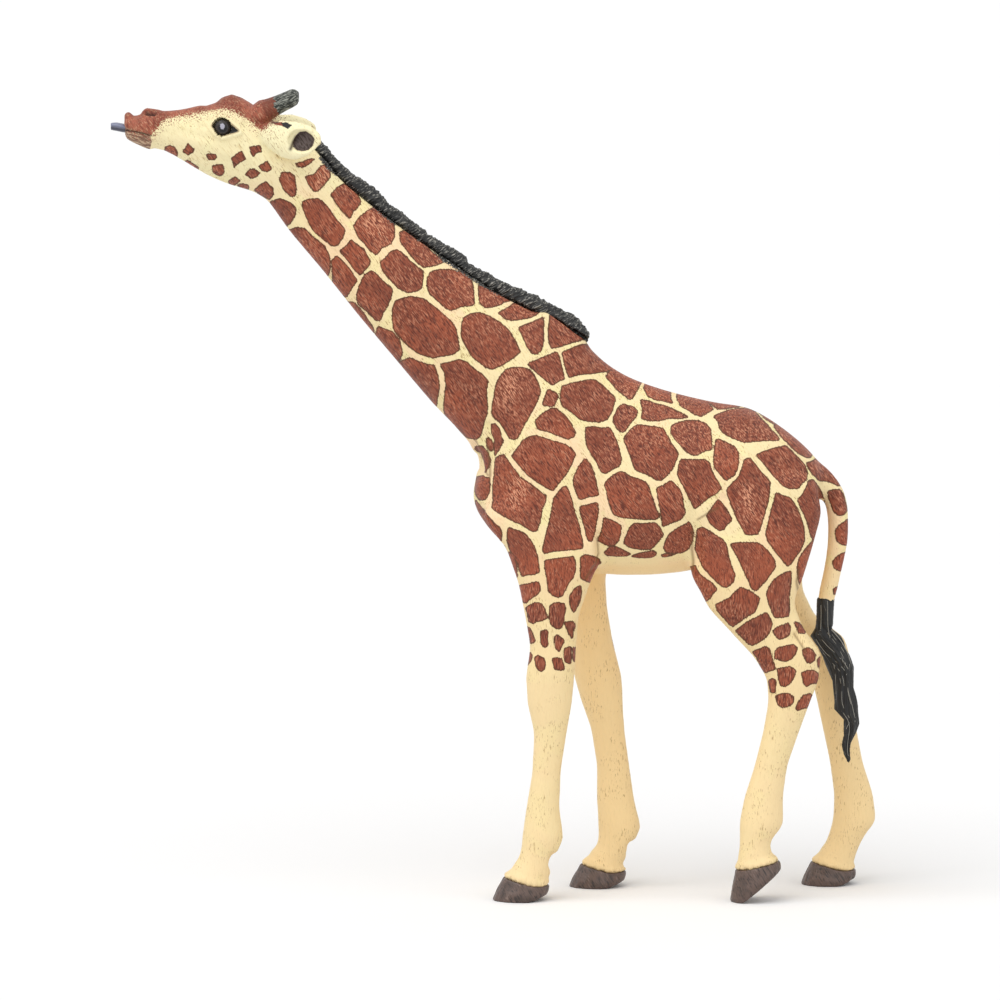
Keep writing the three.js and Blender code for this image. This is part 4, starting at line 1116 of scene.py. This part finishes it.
def makeStrands(tuft):
    # A stray hair beside the tuft, and single hairs along its surface on both sides.
    setup = tuftSetup
    stray = [(back * mm, setup["strayOut"] * mm, height * mm) for back, height in setup["strayHair"]]
    strands = [makeStrand(stray, setup["strayRadius"])]
    for path in setup["strandPaths"]:
        for side in (1, -1):
            hits = [tuft.ray_cast(*rayThrough(spot, side)) for spot in path]
            places = [place + normal * setup["strandLift"] * mm for hit, place, normal, _ in hits if hit]
            if len(places) > 2:
                strands.append(makeStrand(places, setup["strandRadius"]))
    for strand in strands:
        writeValue(strand, "ridge", np.full(len(strand.data.vertices), setup["strandLight"]))
    return strands


def makeTuft():
    setup = tuftSetup
    tuft = castFrom(["tail_tuft"], "tuftCast", setup["cast"])
    movePoints(tuft, shapeTuft(pointsOf(tuft)))
    points = pointsOf(tuft)
    x, y, z = points.T
    part, band = setup["slice"], setup["band"]
    heights = np.arange(z.min() + part["step"] / 2, z.max(), part["step"])
    middles = [(low + high) / 2 for low, high in zip(*spans(z, x, heights, part["half"]))]
    around = np.arctan2(y, x - np.interp(z, heights, middles)) + setup["twist"] * z
    around += setup["sway"] * np.sin(z / setup["swayLength"])
    wrapped = smoothStep(z, band["foot"], band["foot"] + band["over"])
    free = 1 - band["held"] + band["held"] * (1 - wrapped)
    lift = np.zeros(len(points))
    for layer in (setup["locks"], setup["strands"]):
        rows = [np.cos(around) * layer["count"], np.sin(around) * layer["count"], z / layer["length"]]
        lift += layer["height"] * pattern(np.stack(rows, 1))
    swelling = (1 - free) * band["swell"] / band["held"]
    movePoints(tuft, points + (free * lift + swelling)[:, None] * normalsOf(tuft))
    writeValue(tuft, "ridge", lift / setup["strands"]["height"])
    selectOnly(tuft, *makeStrands(tuft))
    bpy.ops.object.join()
    return tuft


hoofSetup = {
    "cast": {"swell": 0, "grid": 0.18, "blur": 0.42},
    "grooves": {"lengths": (0.7, 0.7, 4), "height": 0.06},
    "dents": {"lengths": (1.8, 1.8, 1.8), "height": 0.06},
}


def makeHoof(node):
    setup = hoofSetup
    hoof = castFrom([node], node + "Cast", setup["cast"])
    points = lowerHeels(pointsOf(hoof))
    lift = sum(
        layer["height"] * pattern(points / layer["lengths"]) for layer in (setup["grooves"], setup["dents"])
    )
    moved = points + lift[:, None] * normalsOf(hoof)
    moved[:, 2] = np.maximum(moved[:, 2], 0)
    movePoints(hoof, moved)
    writeValue(hoof, "ridge", lift / setup["grooves"]["height"])
    return hoof


eyeSetup = {
    "cast": {"swell": 0, "grid": 0.1, "blur": 0.45},
    "lens": {"radius": 1.1, "fade": 0.3, "height": 0.12},
    # The ball shows only between the lids, which reach over it, and sinks outside them.
    "lidOver": 0.22, "sink": 0.9, "sinkOver": 0.3, "sinkFacing": (-0.2, 0.1),
    "glint": [(220.5, 124), (223.5, 123.5), (224.8, 126), (223.5, 129.5), (221, 129), (220.2, 126.5)],
}


def makeEye(node):
    setup = eyeSetup
    eye = castFrom([node], node + "Cast", setup["cast"])
    points, normals = pointsOf(eye), normalsOf(eye)
    low, high = np.array(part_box(node)) / mm
    middle = (low + high) / 2
    side = -1 if middle[1] < 0 else 1
    gap = np.linalg.norm((points - middle)[:, [0, 2]], axis=1)
    lens = setup["lens"]
    shell = smoothStep(-gap, -lens["radius"] - lens["fade"], -lens["radius"])
    shell *= (points[:, 1] - middle[1]) * side > 0
    moved = points + (shell * lens["height"])[:, None] * normals
    spots = toPicture(points)
    covered = setup["lidOver"] - insideBy(spots, faceOutlines["eyeRim"]) * pixel
    covered = smoothStep(covered, 0, setup["sinkOver"])
    covered *= smoothStep(normals[:, 1] * side, *setup["sinkFacing"])
    moved[:, 1] -= covered * setup["sink"] * side
    movePoints(eye, moved)
    writeValue(eye, "glint", insideBy(spots, setup["glint"]) * pixel)
    writeValue(eye, "outward", gap)
    return eye


tongueSetup = {
    "cast": {"swell": 0, "grid": 0.12, "blur": 0.35},
    "groove": {"width": 0.4, "height": -0.2, "facingUp": (0.2, 0.7)},
    "full": {"height": 0.34, "from": -76, "to": -80},  # the end is thick and blunt
    "tip": -82.1,
}


def makeTongue():
    setup = tongueSetup
    tongue = castFrom(["tongue"], "tongueCast", setup["cast"])
    points, normals = pointsOf(tongue), normalsOf(tongue)
    groove = setup["groove"]["height"] * np.exp(-(points[:, 1] / setup["groove"]["width"]) ** 2)
    groove *= smoothStep(normals[:, 2], *setup["groove"]["facingUp"])
    full = setup["full"]
    swelling = full["height"] * (1 - smoothStep(points[:, 0], full["to"], full["from"]))
    swelling *= np.abs(normals[:, 2])
    moved = points + (groove + swelling)[:, None] * normals
    moved[:, 0] = np.maximum(moved[:, 0], setup["tip"])
    movePoints(tongue, moved)
    # How far the tongue faces up, for the painted light on its top and the painted shade below.
    writeValue(tongue, "top", normals[:, 2])
    return tongue


# Paints. A Wire is a socket that can be used in sums, Nodes are those of a material or the world,
# and a Paint is a material being made.


class Wire:
    def __init__(self, nodes, socket):
        self.nodes = nodes
        self.socket = socket

    def __add__(self, other):
        return self.nodes.maths("ADD", self, other)

    def __radd__(self, other):
        return self.nodes.maths("ADD", other, self)

    def __sub__(self, other):
        return self.nodes.maths("SUBTRACT", self, other)

    def __rsub__(self, other):
        return self.nodes.maths("SUBTRACT", other, self)

    def __mul__(self, other):
        return self.nodes.maths("MULTIPLY", self, other)

    def __rmul__(self, other):
        return self.nodes.maths("MULTIPLY", other, self)


class Nodes:
    def __init__(self, owner):
        owner.use_nodes = True
        self.tree = owner.node_tree
        self.tree.nodes.clear()

    def node(self, kind, settings=None, inputs=None, output=0):
        made = self.tree.nodes.new(kind)
        for key, value in (settings or {}).items():
            setattr(made, key, value)
        for key, value in (inputs or {}).items():
            if isinstance(value, Wire):
                self.tree.links.new(value.socket, made.inputs[key])
            else:
                made.inputs[key].default_value = value
        return Wire(self, made.outputs[output]) if made.outputs else None

    def maths(self, operation, first, second):
        return self.node("ShaderNodeMath", {"operation": operation}, {0: first, 1: second})

    def rays(self, kind):
        return self.node("ShaderNodeLightPath", output=kind)


class Paint(Nodes):
    def __init__(self, name):
        self.material = bpy.data.materials.new(name)
        super().__init__(self.material)
        self.place = self.node("ShaderNodeTexCoord", output="Object")

    def value(self, name):
        return self.node("ShaderNodeAttribute", {"attribute_name": name}, output="Fac")

    def coordinate(self, axis):
        return self.node("ShaderNodeSeparateXYZ", inputs={0: self.place}, output=axis)

    def mask(self, value, low, high):
        inputs = {"Value": value, "From Min": low, "From Max": high}
        return self.node("ShaderNodeMapRange", {"interpolation_type": "SMOOTHSTEP"}, inputs)

    def blend(self, share, first, second):
        settings = {"data_type": "RGBA", "clamp_factor": True}
        return self.node("ShaderNodeMix", settings, {0: share, 6: first, 7: second}, output=2)

    def lay(self, below, name, value, share=1):
        # Lays one of the layers over a colour.
        layer = layers[name]
        if "edges" in layer:
            value = self.mask(value, *layer["edges"])
        return self.blend(value * (layer["most"] * share), below, layer["tint"])

    def inside(self, name, pattern):
        # How much of a paint there is, from the distances of its outline, shifted by a pattern.
        half = coatFinish["half"].get(name, coatFinish["half"]["others"])
        return self.mask(self.value(name) + jitter(pattern, coatFinish["jitter"][name]), -half, half)

    def noise(self, size, detail=2, angle=0):
        # Noise of a size in mm, or drawn out to three sizes along a slope in the side view.
        sizes = size if isinstance(size, tuple) else (size, size, size)
        inputs = {
            "Vector": self.place,
            "Rotation": (0, math.radians(-angle), 0),
            "Scale": tuple(length * mm for length in sizes),
        }
        drawn = self.node("ShaderNodeMapping", {"vector_type": "TEXTURE"}, inputs)
        return self.node("ShaderNodeTexNoise", inputs={"Vector": drawn, "Scale": 1, "Detail": detail})

    def finish(self, name, colour, grain, height, smoother=0):
        surface = surfaces[name]
        bump = {"Strength": surface["strength"], "Distance": surface["depth"] * mm, "Height": height}
        inputs = {
            "Base Color": colour,
            "Roughness": surface["roughness"] - smoother + jitter(grain, surface["spread"]),
            "Normal": self.node("ShaderNodeBump", inputs=bump),
        }
        shader = self.node("ShaderNodeBsdfPrincipled", inputs=inputs | surface["fixed"])
        self.node("ShaderNodeOutputMaterial", inputs={"Surface": shader})
        return self.material


def jitter(grain, width):
    # A pattern as a shift to both sides of zero.
    return (grain - 0.5) * width


def shade(red, green, blue):
    # A colour as it looks, each part from 0 to 255, as the linear one that nodes take.
    parts = [part / 255 for part in (red, green, blue)]
    return (*(part / 12.92 if part <= 0.04045 else ((part + 0.055) / 1.055) ** 2.4 for part in parts), 1)


baseColours = {
    "cream": shade(250, 229, 178), "patch": shade(143, 74, 51), "face": shade(138, 68, 49),
    "lip": shade(200, 170, 140), "horn": shade(42, 45, 41), "ear": shade(72, 60, 55),
    "lid": shade(22, 19, 17), "poll": shade(27, 27, 26), "hair": shade(8, 8, 8),
    # The tongue's colour here is its underside, darker as painted shade.
    "hoof": shade(46, 38, 35), "eye": shade(11, 10, 10), "tongue": shade(58, 58, 74),
}
# Paints laid over others: the tint, how much of it there is at most, and the edges of a pattern's
# values between which it sets in, or none where the value is a share already.
layers = {
    "pinkish": {"tint": shade(255, 222, 178), "most": 1, "edges": (0.42, 0.6)},
    "pale": {"tint": shade(248, 234, 172), "most": 0.7, "edges": (0.5, 0.65)},
    "lowerLeg": {"tint": shade(248, 222, 168), "most": 0.8},
    # Partly a tan paint and partly painted shade, on the legs' inner faces and under the belly.
    "tanAndShade": {"tint": shade(250, 219, 163), "most": 0.9},
    "faceCream": {"tint": shade(251, 240, 192), "most": 0.75},
    # Painted light on the ears, lifting them out of their shade.
    "earPaintedLight": {"tint": shade(255, 246, 202), "most": 0.8, "edges": (0.0062, 0.0072)},
    "freckle": {"tint": shade(212, 182, 122), "most": 1, "edges": (0.55, 0.66)},
    "fleck": {"tint": shade(158, 118, 66), "most": 1, "edges": (0.6, 0.66)},
    "patchBright": {"tint": shade(164, 84, 56), "most": 1, "edges": (0.4, 0.62)},
    "patchHollow": {"tint": shade(84, 36, 26), "most": 0.8, "edges": (0.5, 0.38)},
    "patchFine": {"tint": shade(84, 36, 26), "most": 0.5, "edges": (0.47, 0.38)},
    # Lighter strokes, partly brushed paint and partly a painted sheen.
    "patchBrushedAndSheen": {"tint": shade(224, 156, 122), "most": 0.64, "edges": (0.53, 0.61)},
    "rim": {"tint": shade(84, 52, 28), "most": 0.85},
    "lipStreak": {"tint": shade(124, 92, 74), "most": 1, "edges": (0.44, 0.56)},
    "faceLight": {"tint": shade(166, 92, 70), "most": 1, "edges": (0.42, 0.6)},
    "faceDark": {"tint": shade(84, 38, 28), "most": 0.55, "edges": (0.52, 0.6)},
    "faceFleck": {"tint": shade(232, 190, 150), "most": 0.4, "edges": (0.56, 0.63)},
    "hornBase": {"tint": shade(104, 50, 34), "most": 0.7, "edges": (-2.9, -1.4)},
    "hornStreak": {"tint": shade(156, 158, 148), "most": 1, "edges": (0.46, 0.64)},
    "earStreak": {"tint": shade(116, 102, 98), "most": 1, "edges": (0.4, 0.6)},
    "lidEdge": {"tint": shade(150, 120, 84), "most": 0.6, "edges": (-0.42, -0.2)},
    "ink": {"tint": shade(52, 32, 26), "most": 0.9},
    # The creases' dark wash, partly paint and partly painted shade.
    "washAndShade": {"tint": shade(112, 78, 44), "most": 0.7},
    "hairBase": {"tint": shade(27, 27, 26), "most": 1, "edges": (-0.8, 0.2)},
    # Grey brushed over ridges, and on the tuft's single strands a painted highlight.
    "hairBrushedAndLit": {"tint": shade(176, 172, 162), "most": 0.8, "edges": (0.2, 0.9)},
    "hoofBase": {"tint": shade(96, 77, 69), "most": 1, "edges": (-0.7, 0.1)},
    "hoofPale": {"tint": shade(150, 130, 120), "most": 0.6, "edges": (0.3, 0.9)},
    "hoofDrift": {"tint": shade(46, 38, 35), "most": 0.35, "edges": (0.5, 0.65)},
    "eyeRing": {"tint": shade(46, 40, 38), "most": 1},
    "eyeGlint": {"tint": shade(172, 170, 182), "most": 1, "edges": (-0.05, 0.1)},
    # The tongue's top, paler as painted light.
    "tongueLitTop": {"tint": shade(118, 122, 146), "most": 1, "edges": (-0.4, 0.5)},
}
# Each surface's roughness and how far its grain varies it, and its bumps' strength and depth in mm.
surfaces = {
    "coat": {"roughness": 0.56, "spread": 0.1, "strength": 1, "depth": 0.34,
             "fixed": {"Specular IOR Level": 0.3}},
    "hair": {"roughness": 0.5, "spread": 0.2, "strength": 0.7, "depth": 0.15,
             "fixed": {"Specular IOR Level": 0.45}},
    "hoof": {"roughness": 0.42, "spread": 0.2, "strength": 0.6, "depth": 0.1,
             "fixed": {"Specular IOR Level": 0.5}},
    "eye": {"roughness": 0.145, "spread": 0.05, "strength": 0.2, "depth": 0.02,
            "fixed": {"Coat Weight": 0.35, "Coat Roughness": 0.04, "Specular IOR Level": 0.2}},
    "tongue": {"roughness": 0.34, "spread": 0.2, "strength": 0.4, "depth": 0.06,
               "fixed": {"Coat Weight": 0.3}},
    "floor": {"roughness": 0.925, "spread": 0.05, "strength": 0.02, "depth": 0.01,
              "fixed": {"Specular IOR Level": 0}},
}
coatFinish = {
    "slope": -55,  # of the hair, down and back
    "hair": (1.7, 0.55, 0.26),
    "fineHair": (1.1, 0.35, 0.18),
    "clouds": 13,
    "drifts": 4.5,
    "grain": 0.3,
    "lipHair": {"size": (1.8, 0.5, 0.24), "slope": -22},
    "hornHair": {"size": (1.2, 0.4, 0.17), "slope": 25},
    # Heights in metres where the hair turns from upright to sloping, and where the face begins.
    "upright": (0.062, 0.086),
    "faceFrom": (0.148, 0.158),
    # The shares of some layers, low on the legs and on the body, and where there are flecks at all.
    "freckles": {"low": 0.1, "high": 0.35},
    "flecks": {"low": 0.62, "high": 0.8, "drifts": (0.44, 0.56)},
    # What the light brushing and painted sheen of the patches come from: a share everywhere, drifts, and a
    # painted sheen on places that face up and on marked places.
    "brushingAndSheen": {
        "all": 0.25, "drifts": 0.5, "driftEdges": (0.42, 0.56),
        "upward": 0.4, "upwardEdges": (0.1, 0.7), "sheenMarks": 0.9, "sheenShift": 0.04,
    },
    # The edges of the patches, in mm, and by how much patterns shift them.
    "edge": {"over": (-0.05, 0.06), "strokes": 0.5, "grain": 0.25},
    "rimOver": (0.15, 0.39),
    # The dots round the face's brown, in mm: their size, how far they are strewn and where.
    "dots": {"size": 0.24, "strewn": 20, "rarer": 1.2, "edge": 0.3, "near": (-2.2, -1.4)},
    # How far patterns shift the other paints' edges, and half the width of an edge, in mm.
    "jitter": {"lip": 0.3, "brown": 3.2, "hornTip": 1.5, "earInside": 0.4, "pollLine": 0.6,
               "pollMark": 0.6, "eyeRim": 0.2, "maneRoot": 1.6},
    "half": {"brown": 0.12, "eyeRim": 0.06, "others": 0.05},
    "rootRidge": 5,
    "relief": {"strokes": 0.7, "fine": 0.3, "all": 0.6, "patch": 0.4},
    "smoother": {"patch": 0.06, "lid": 0.3},
}


maneHair = {"grain": (1.3, 0.4, 0.2), "slope": 30, "ridge": 0.3, "streaked": 5, "darker": 0}
tuftHair = {"grain": (3.2, 0.35, 0.2), "slope": -75, "ridge": 0.3, "streaked": 3, "darker": 0.35}


def hairColour(paint, ridge):
    # Black, with grey brushed over the ridges, and a painted highlight on the tuft's single strands.
    return paint.lay(paint.lay(baseColours["hair"], "hairBase", ridge), "hairBrushedAndLit", ridge)


def coatPatterns(paint):
    # The patterns that the coat's paints share. The hair's strokes stand upright low on the legs.
    finish = coatFinish
    sloping = paint.mask(paint.coordinate("Z"), *finish["upright"])

    def hair(size, detail):
        upright = paint.noise(size, detail, 90)
        return upright + sloping * (paint.noise(size, detail, finish["slope"]) - upright)

    return {
        "sloping": sloping,
        "strokes": hair(finish["hair"], 3),
        "fine": hair(finish["fineHair"], 2),
        "clouds": paint.noise(finish["clouds"]),
        "drifts": paint.noise(finish["drifts"]),
        "grain": paint.noise(finish["grain"]),
    }


def groundColour(paint, sloping, strokes, fine, clouds, drifts):
    # The cream between the patches, with its flecks, a tan that is partly painted shade on the legs' inner
    # faces and under the belly, and painted light on the ears.
    freckles, flecks = coatFinish["freckles"], coatFinish["flecks"]
    ground = paint.lay(baseColours["cream"], "pinkish", clouds)
    ground = paint.lay(ground, "pale", drifts)
    ground = paint.lay(ground, "lowerLeg", 1 - sloping)
    # Painted shade, partly a tan paint, where the coat is plain.
    ground = paint.lay(ground, "tanAndShade", paint.value("tanAndShade"))
    onFace = paint.mask(paint.coordinate("Z"), *coatFinish["faceFrom"])
    ground = paint.lay(ground, "faceCream", onFace)
    aside = paint.node("ShaderNodeMath", {"operation": "ABSOLUTE"}, {0: paint.coordinate("Y")})
    # Painted light on the ears, beside the head, lifting them out of their shade.
    ground = paint.lay(ground, "earPaintedLight", aside, onFace)
    share = freckles["low"] + sloping * (freckles["high"] - freckles["low"])
    ground = paint.lay(ground, "freckle", strokes, share)
    share = flecks["low"] + sloping * (flecks["high"] - flecks["low"])
    return paint.lay(ground, "fleck", fine, paint.mask(drifts, *flecks["drifts"]) * share)


def patchColour(paint, rim, strokes, fine, clouds, drifts):
    # The brown of the patches, darker in the hair's hollows and brushed lighter on its ridges, with a
    # painted sheen on places that face up and on marked places.
    parts = coatFinish["brushingAndSheen"]
    brown = paint.lay(baseColours["patch"], "patchBright", clouds)
    brown = paint.lay(brown, "patchHollow", strokes)
    brown = paint.lay(brown, "patchFine", fine)
    # Painted sheen on marked places and on places that face up.
    sheenMarks = paint.value("paintedSheen")
    brushingAndSheen = parts["all"] + parts["drifts"] * paint.mask(drifts, *parts["driftEdges"])
    brushingAndSheen += parts["upward"] * paint.mask(paint.value("upward"), *parts["upwardEdges"])
    brushingAndSheen += parts["sheenMarks"] * sheenMarks
    brown = paint.lay(brown, "patchBrushedAndSheen", fine + sheenMarks * parts["sheenShift"], brushingAndSheen)
    return paint.lay(brown, "rim", rim)


def faceOver(paint, colour, strokes, fine, drifts, grain):
    # The lip, the face's brown, horns' tips, ears, poll, eyelids, dark lines, the creases' wash that is
    # partly painted shade, and the mane's root.
    colours, finish = baseColours, coatFinish
    lipHair = paint.noise(finish["lipHair"]["size"], 3, finish["lipHair"]["slope"])
    lip = paint.lay(colours["lip"], "lipStreak", lipHair)
    colour = paint.blend(paint.inside("lip", grain), colour, lip)

    face = paint.lay(colours["face"], "faceLight", drifts)
    face = paint.lay(face, "faceDark", strokes)
    face = paint.lay(face, "faceFleck", fine)
    face = paint.lay(face, "hornBase", paint.value("hornTip"))
    brown, dots = paint.value("brown"), finish["dots"]
    strewn = brown + jitter(paint.noise(dots["size"], 1), dots["strewn"]) - dots["rarer"]
    strewn = paint.mask(strewn, -dots["edge"], dots["edge"]) * paint.mask(brown, *dots["near"])
    dotted = paint.maths("MAXIMUM", paint.inside("brown", grain), strewn)
    colour = paint.blend(dotted, colour, face)

    hornHair = paint.noise(finish["hornHair"]["size"], 3, finish["hornHair"]["slope"])
    horn = paint.lay(colours["horn"], "hornStreak", hornHair)
    colour = paint.blend(paint.inside("hornTip", strokes), colour, horn)
    ear = paint.lay(colours["ear"], "earStreak", strokes)
    colour = paint.blend(paint.inside("earInside", grain), colour, ear)
    colour = paint.blend(paint.inside("pollLine", grain), colour, colours["face"])
    colour = paint.blend(paint.inside("pollMark", grain), colour, colours["poll"])
    colour = paint.lay(colour, "lidEdge", paint.value("eyeRim"))
    rimmed = paint.inside("eyeRim", grain)
    colour = paint.blend(rimmed, colour, colours["lid"])
    # Dark painted lines, and the creases' wash that is partly painted shade.
    for name in ("ink", "washAndShade"):
        colour = paint.lay(colour, name, paint.value(name))
    root = paint.noise(maneHair["grain"], 3, maneHair["slope"])
    hair = hairColour(paint, jitter(root, finish["rootRidge"]))
    return paint.blend(paint.inside("maneRoot", root), colour, hair), rimmed


def coatPaint():
    paint = Paint("coat paint")
    finish = coatFinish
    sloping, strokes, fine, clouds, drifts, grain = coatPatterns(paint).values()
    edge = finish["edge"]
    distance = paint.value("coat") + jitter(strokes, edge["strokes"]) + jitter(grain, edge["grain"])
    patch = paint.mask(distance, *edge["over"])
    rim = patch * (1 - paint.mask(distance, *finish["rimOver"]))
    ground = groundColour(paint, sloping, strokes, fine, clouds, drifts)
    colour = paint.blend(patch, ground, patchColour(paint, rim, strokes, fine, clouds, drifts))
    colour, rimmed = faceOver(paint, colour, strokes, fine, drifts, grain)
    relief, smoother = finish["relief"], finish["smoother"]
    height = strokes * relief["strokes"] + fine * relief["fine"]
    height *= relief["all"] + patch * relief["patch"]
    smoothness = patch * smoother["patch"] + rimmed * smoother["lid"]
    return paint.finish("coat", colour, grain, height, smoothness)


def hairPaint(name, hair):
    paint = Paint(name)
    fine = paint.noise(hair["grain"], 3, hair["slope"])
    ridge = paint.value("ridge") * hair["ridge"] + jitter(fine, hair["streaked"]) - hair["darker"]
    return paint.finish("hair", hairColour(paint, ridge), fine, fine)


hoofFinish = {"streaks": (2.6, 0.5, 0.3), "slope": -58, "drifts": 2.2, "ridge": 0.25, "streaked": 3}


def hoofPaint():
    paint = Paint("hoof paint")
    setup = hoofFinish
    streaks = paint.noise(setup["streaks"], 3, setup["slope"])
    drifts = paint.noise(setup["drifts"])
    ridge = paint.value("ridge") * setup["ridge"] + jitter(streaks, setup["streaked"])
    colour = paint.lay(baseColours["hoof"], "hoofBase", ridge)
    colour = paint.lay(colour, "hoofPale", ridge)
    colour = paint.lay(colour, "hoofDrift", drifts)
    return paint.finish("hoof", colour, drifts, streaks)


# The paler ring lies between two distances from the eye's middle, in mm.
eyeFinish = {
    "grain": 0.3, "glintJitter": 0.4,
    "ringFrom": (0.75, 1.05), "ringTo": (1.35, 1.7), "ringJitter": 0.6,
}


def eyePaint():
    paint = Paint("eye gloss")
    setup = eyeFinish
    grain = paint.noise(setup["grain"])
    outward = paint.value("outward") + jitter(grain, setup["ringJitter"])
    ring = paint.mask(outward, *setup["ringFrom"]) * (1 - paint.mask(outward, *setup["ringTo"]))
    colour = paint.lay(baseColours["eye"], "eyeRing", ring)
    colour = paint.lay(colour, "eyeGlint", paint.value("glint") + jitter(grain, setup["glintJitter"]))
    return paint.finish("eye", colour, grain, grain)


tongueFinish = {"grain": 0.5, "topJitter": 0.5}


def tonguePaint():
    paint = Paint("tongue paint")
    grain = paint.noise(tongueFinish["grain"])
    # Painted light on the top, over a base that is darker as painted shade below.
    top = paint.value("top") + jitter(grain, tongueFinish["topJitter"])
    return paint.finish("tongue", paint.lay(baseColours["tongue"], "tongueLitTop", top), grain, grain)


# The stage: a wide pale floor that keeps a soft shadow, and plain soft light.
stageSetup = {
    "floorHalf": 14,  # metres
    "floorDrop": 0.02,  # mm under the hooves
    "floorCells": 8,
    "floorSeen": 0.96,
    "floorLit": 0.8,
    "floorGrain": 40,
    "sky": 0.62,
    "suns": [
        {"name": "key", "turn": (34, 0, -46), "strength": 1.4, "spread": 55},
        {"name": "fill", "turn": (62, 0, 35), "strength": 0.55, "spread": 80},
    ],
}
# The rays for which the floor and the sky are pale: those that see them, straight or in a gloss.
seeing = ["Is Camera Ray", "Is Glossy Ray", "Is Transmission Ray"]


def grey(value):
    return (value, value, value, 1)


def makeFloor():
    setup = stageSetup
    bpy.ops.object.select_all(action="DESELECT")
    bpy.ops.mesh.primitive_grid_add(
        x_subdivisions=setup["floorCells"], y_subdivisions=setup["floorCells"],
        size=2 * setup["floorHalf"], location=(0, 0, -setup["floorDrop"] * mm),
    )
    floor = bpy.context.active_object
    floor.name = "floor"
    bpy.ops.object.transform_apply(location=True, rotation=False, scale=False)
    paint = Paint("floor paper")
    camera, glossy, through = (paint.rays(kind) for kind in seeing)
    colour = paint.blend(camera + glossy + through, grey(setup["floorLit"]), grey(setup["floorSeen"]))
    grain = paint.noise(setup["floorGrain"])
    floor.data.materials.append(paint.finish("floor", colour, grain, grain))


def makeSky():
    world = bpy.data.worlds.new("sky")
    bpy.context.scene.world = world
    sky = Nodes(world)
    camera, glossy, through = (sky.rays(kind) for kind in seeing)
    seen = sky.maths("MAXIMUM", through, sky.maths("MAXIMUM", glossy, camera))
    lit = sky.node("ShaderNodeBackground", inputs={"Color": grey(1), "Strength": stageSetup["sky"]})
    pale = sky.node("ShaderNodeBackground", inputs={"Color": grey(1)})
    pick = sky.node("ShaderNodeMixShader", inputs={0: seen, 1: lit, 2: pale})
    sky.node("ShaderNodeOutputWorld", inputs={"Surface": pick})


def makeSuns():
    for sun in stageSetup["suns"]:
        data = bpy.data.lights.new(sun["name"], "SUN")
        data.energy = sun["strength"]
        data.angle = math.radians(sun["spread"])
        lamp = bpy.data.objects.new(sun["name"], data)
        lamp.rotation_euler = [math.radians(turn) for turn in sun["turn"]]
        bpy.context.collection.objects.link(lamp)


placeCamera()
makeFloor()
makeSky()
makeSuns()
bpy.context.scene.view_settings.view_transform = "Standard"
print("stage set")

coatMaterial = coatPaint()
for node, skin in makeSkins().items():
    slot = "horn" if node in horns else "coat"
    settle(skin, node + "_painted", node, coatMaterial)
print("coat painted")

settle(makeMane(), "mane_hair", "mane", hairPaint("mane paint", maneHair))
settle(makeTuft(), "tuft_hair", "tail_tuft", hairPaint("tuft paint", tuftHair))
hoofMaterial = hoofPaint()
for node in hooves:
    settle(makeHoof(node), node + "_painted", node, hoofMaterial)
eyeMaterial = eyePaint()
for node in ["left_eye", "right_eye"]:
    settle(makeEye(node), node + "_glossed", node, eyeMaterial)
settle(makeTongue(), "tongue_painted", "tongue", tonguePaint())
print("hair, hooves, eyes and tongue made")
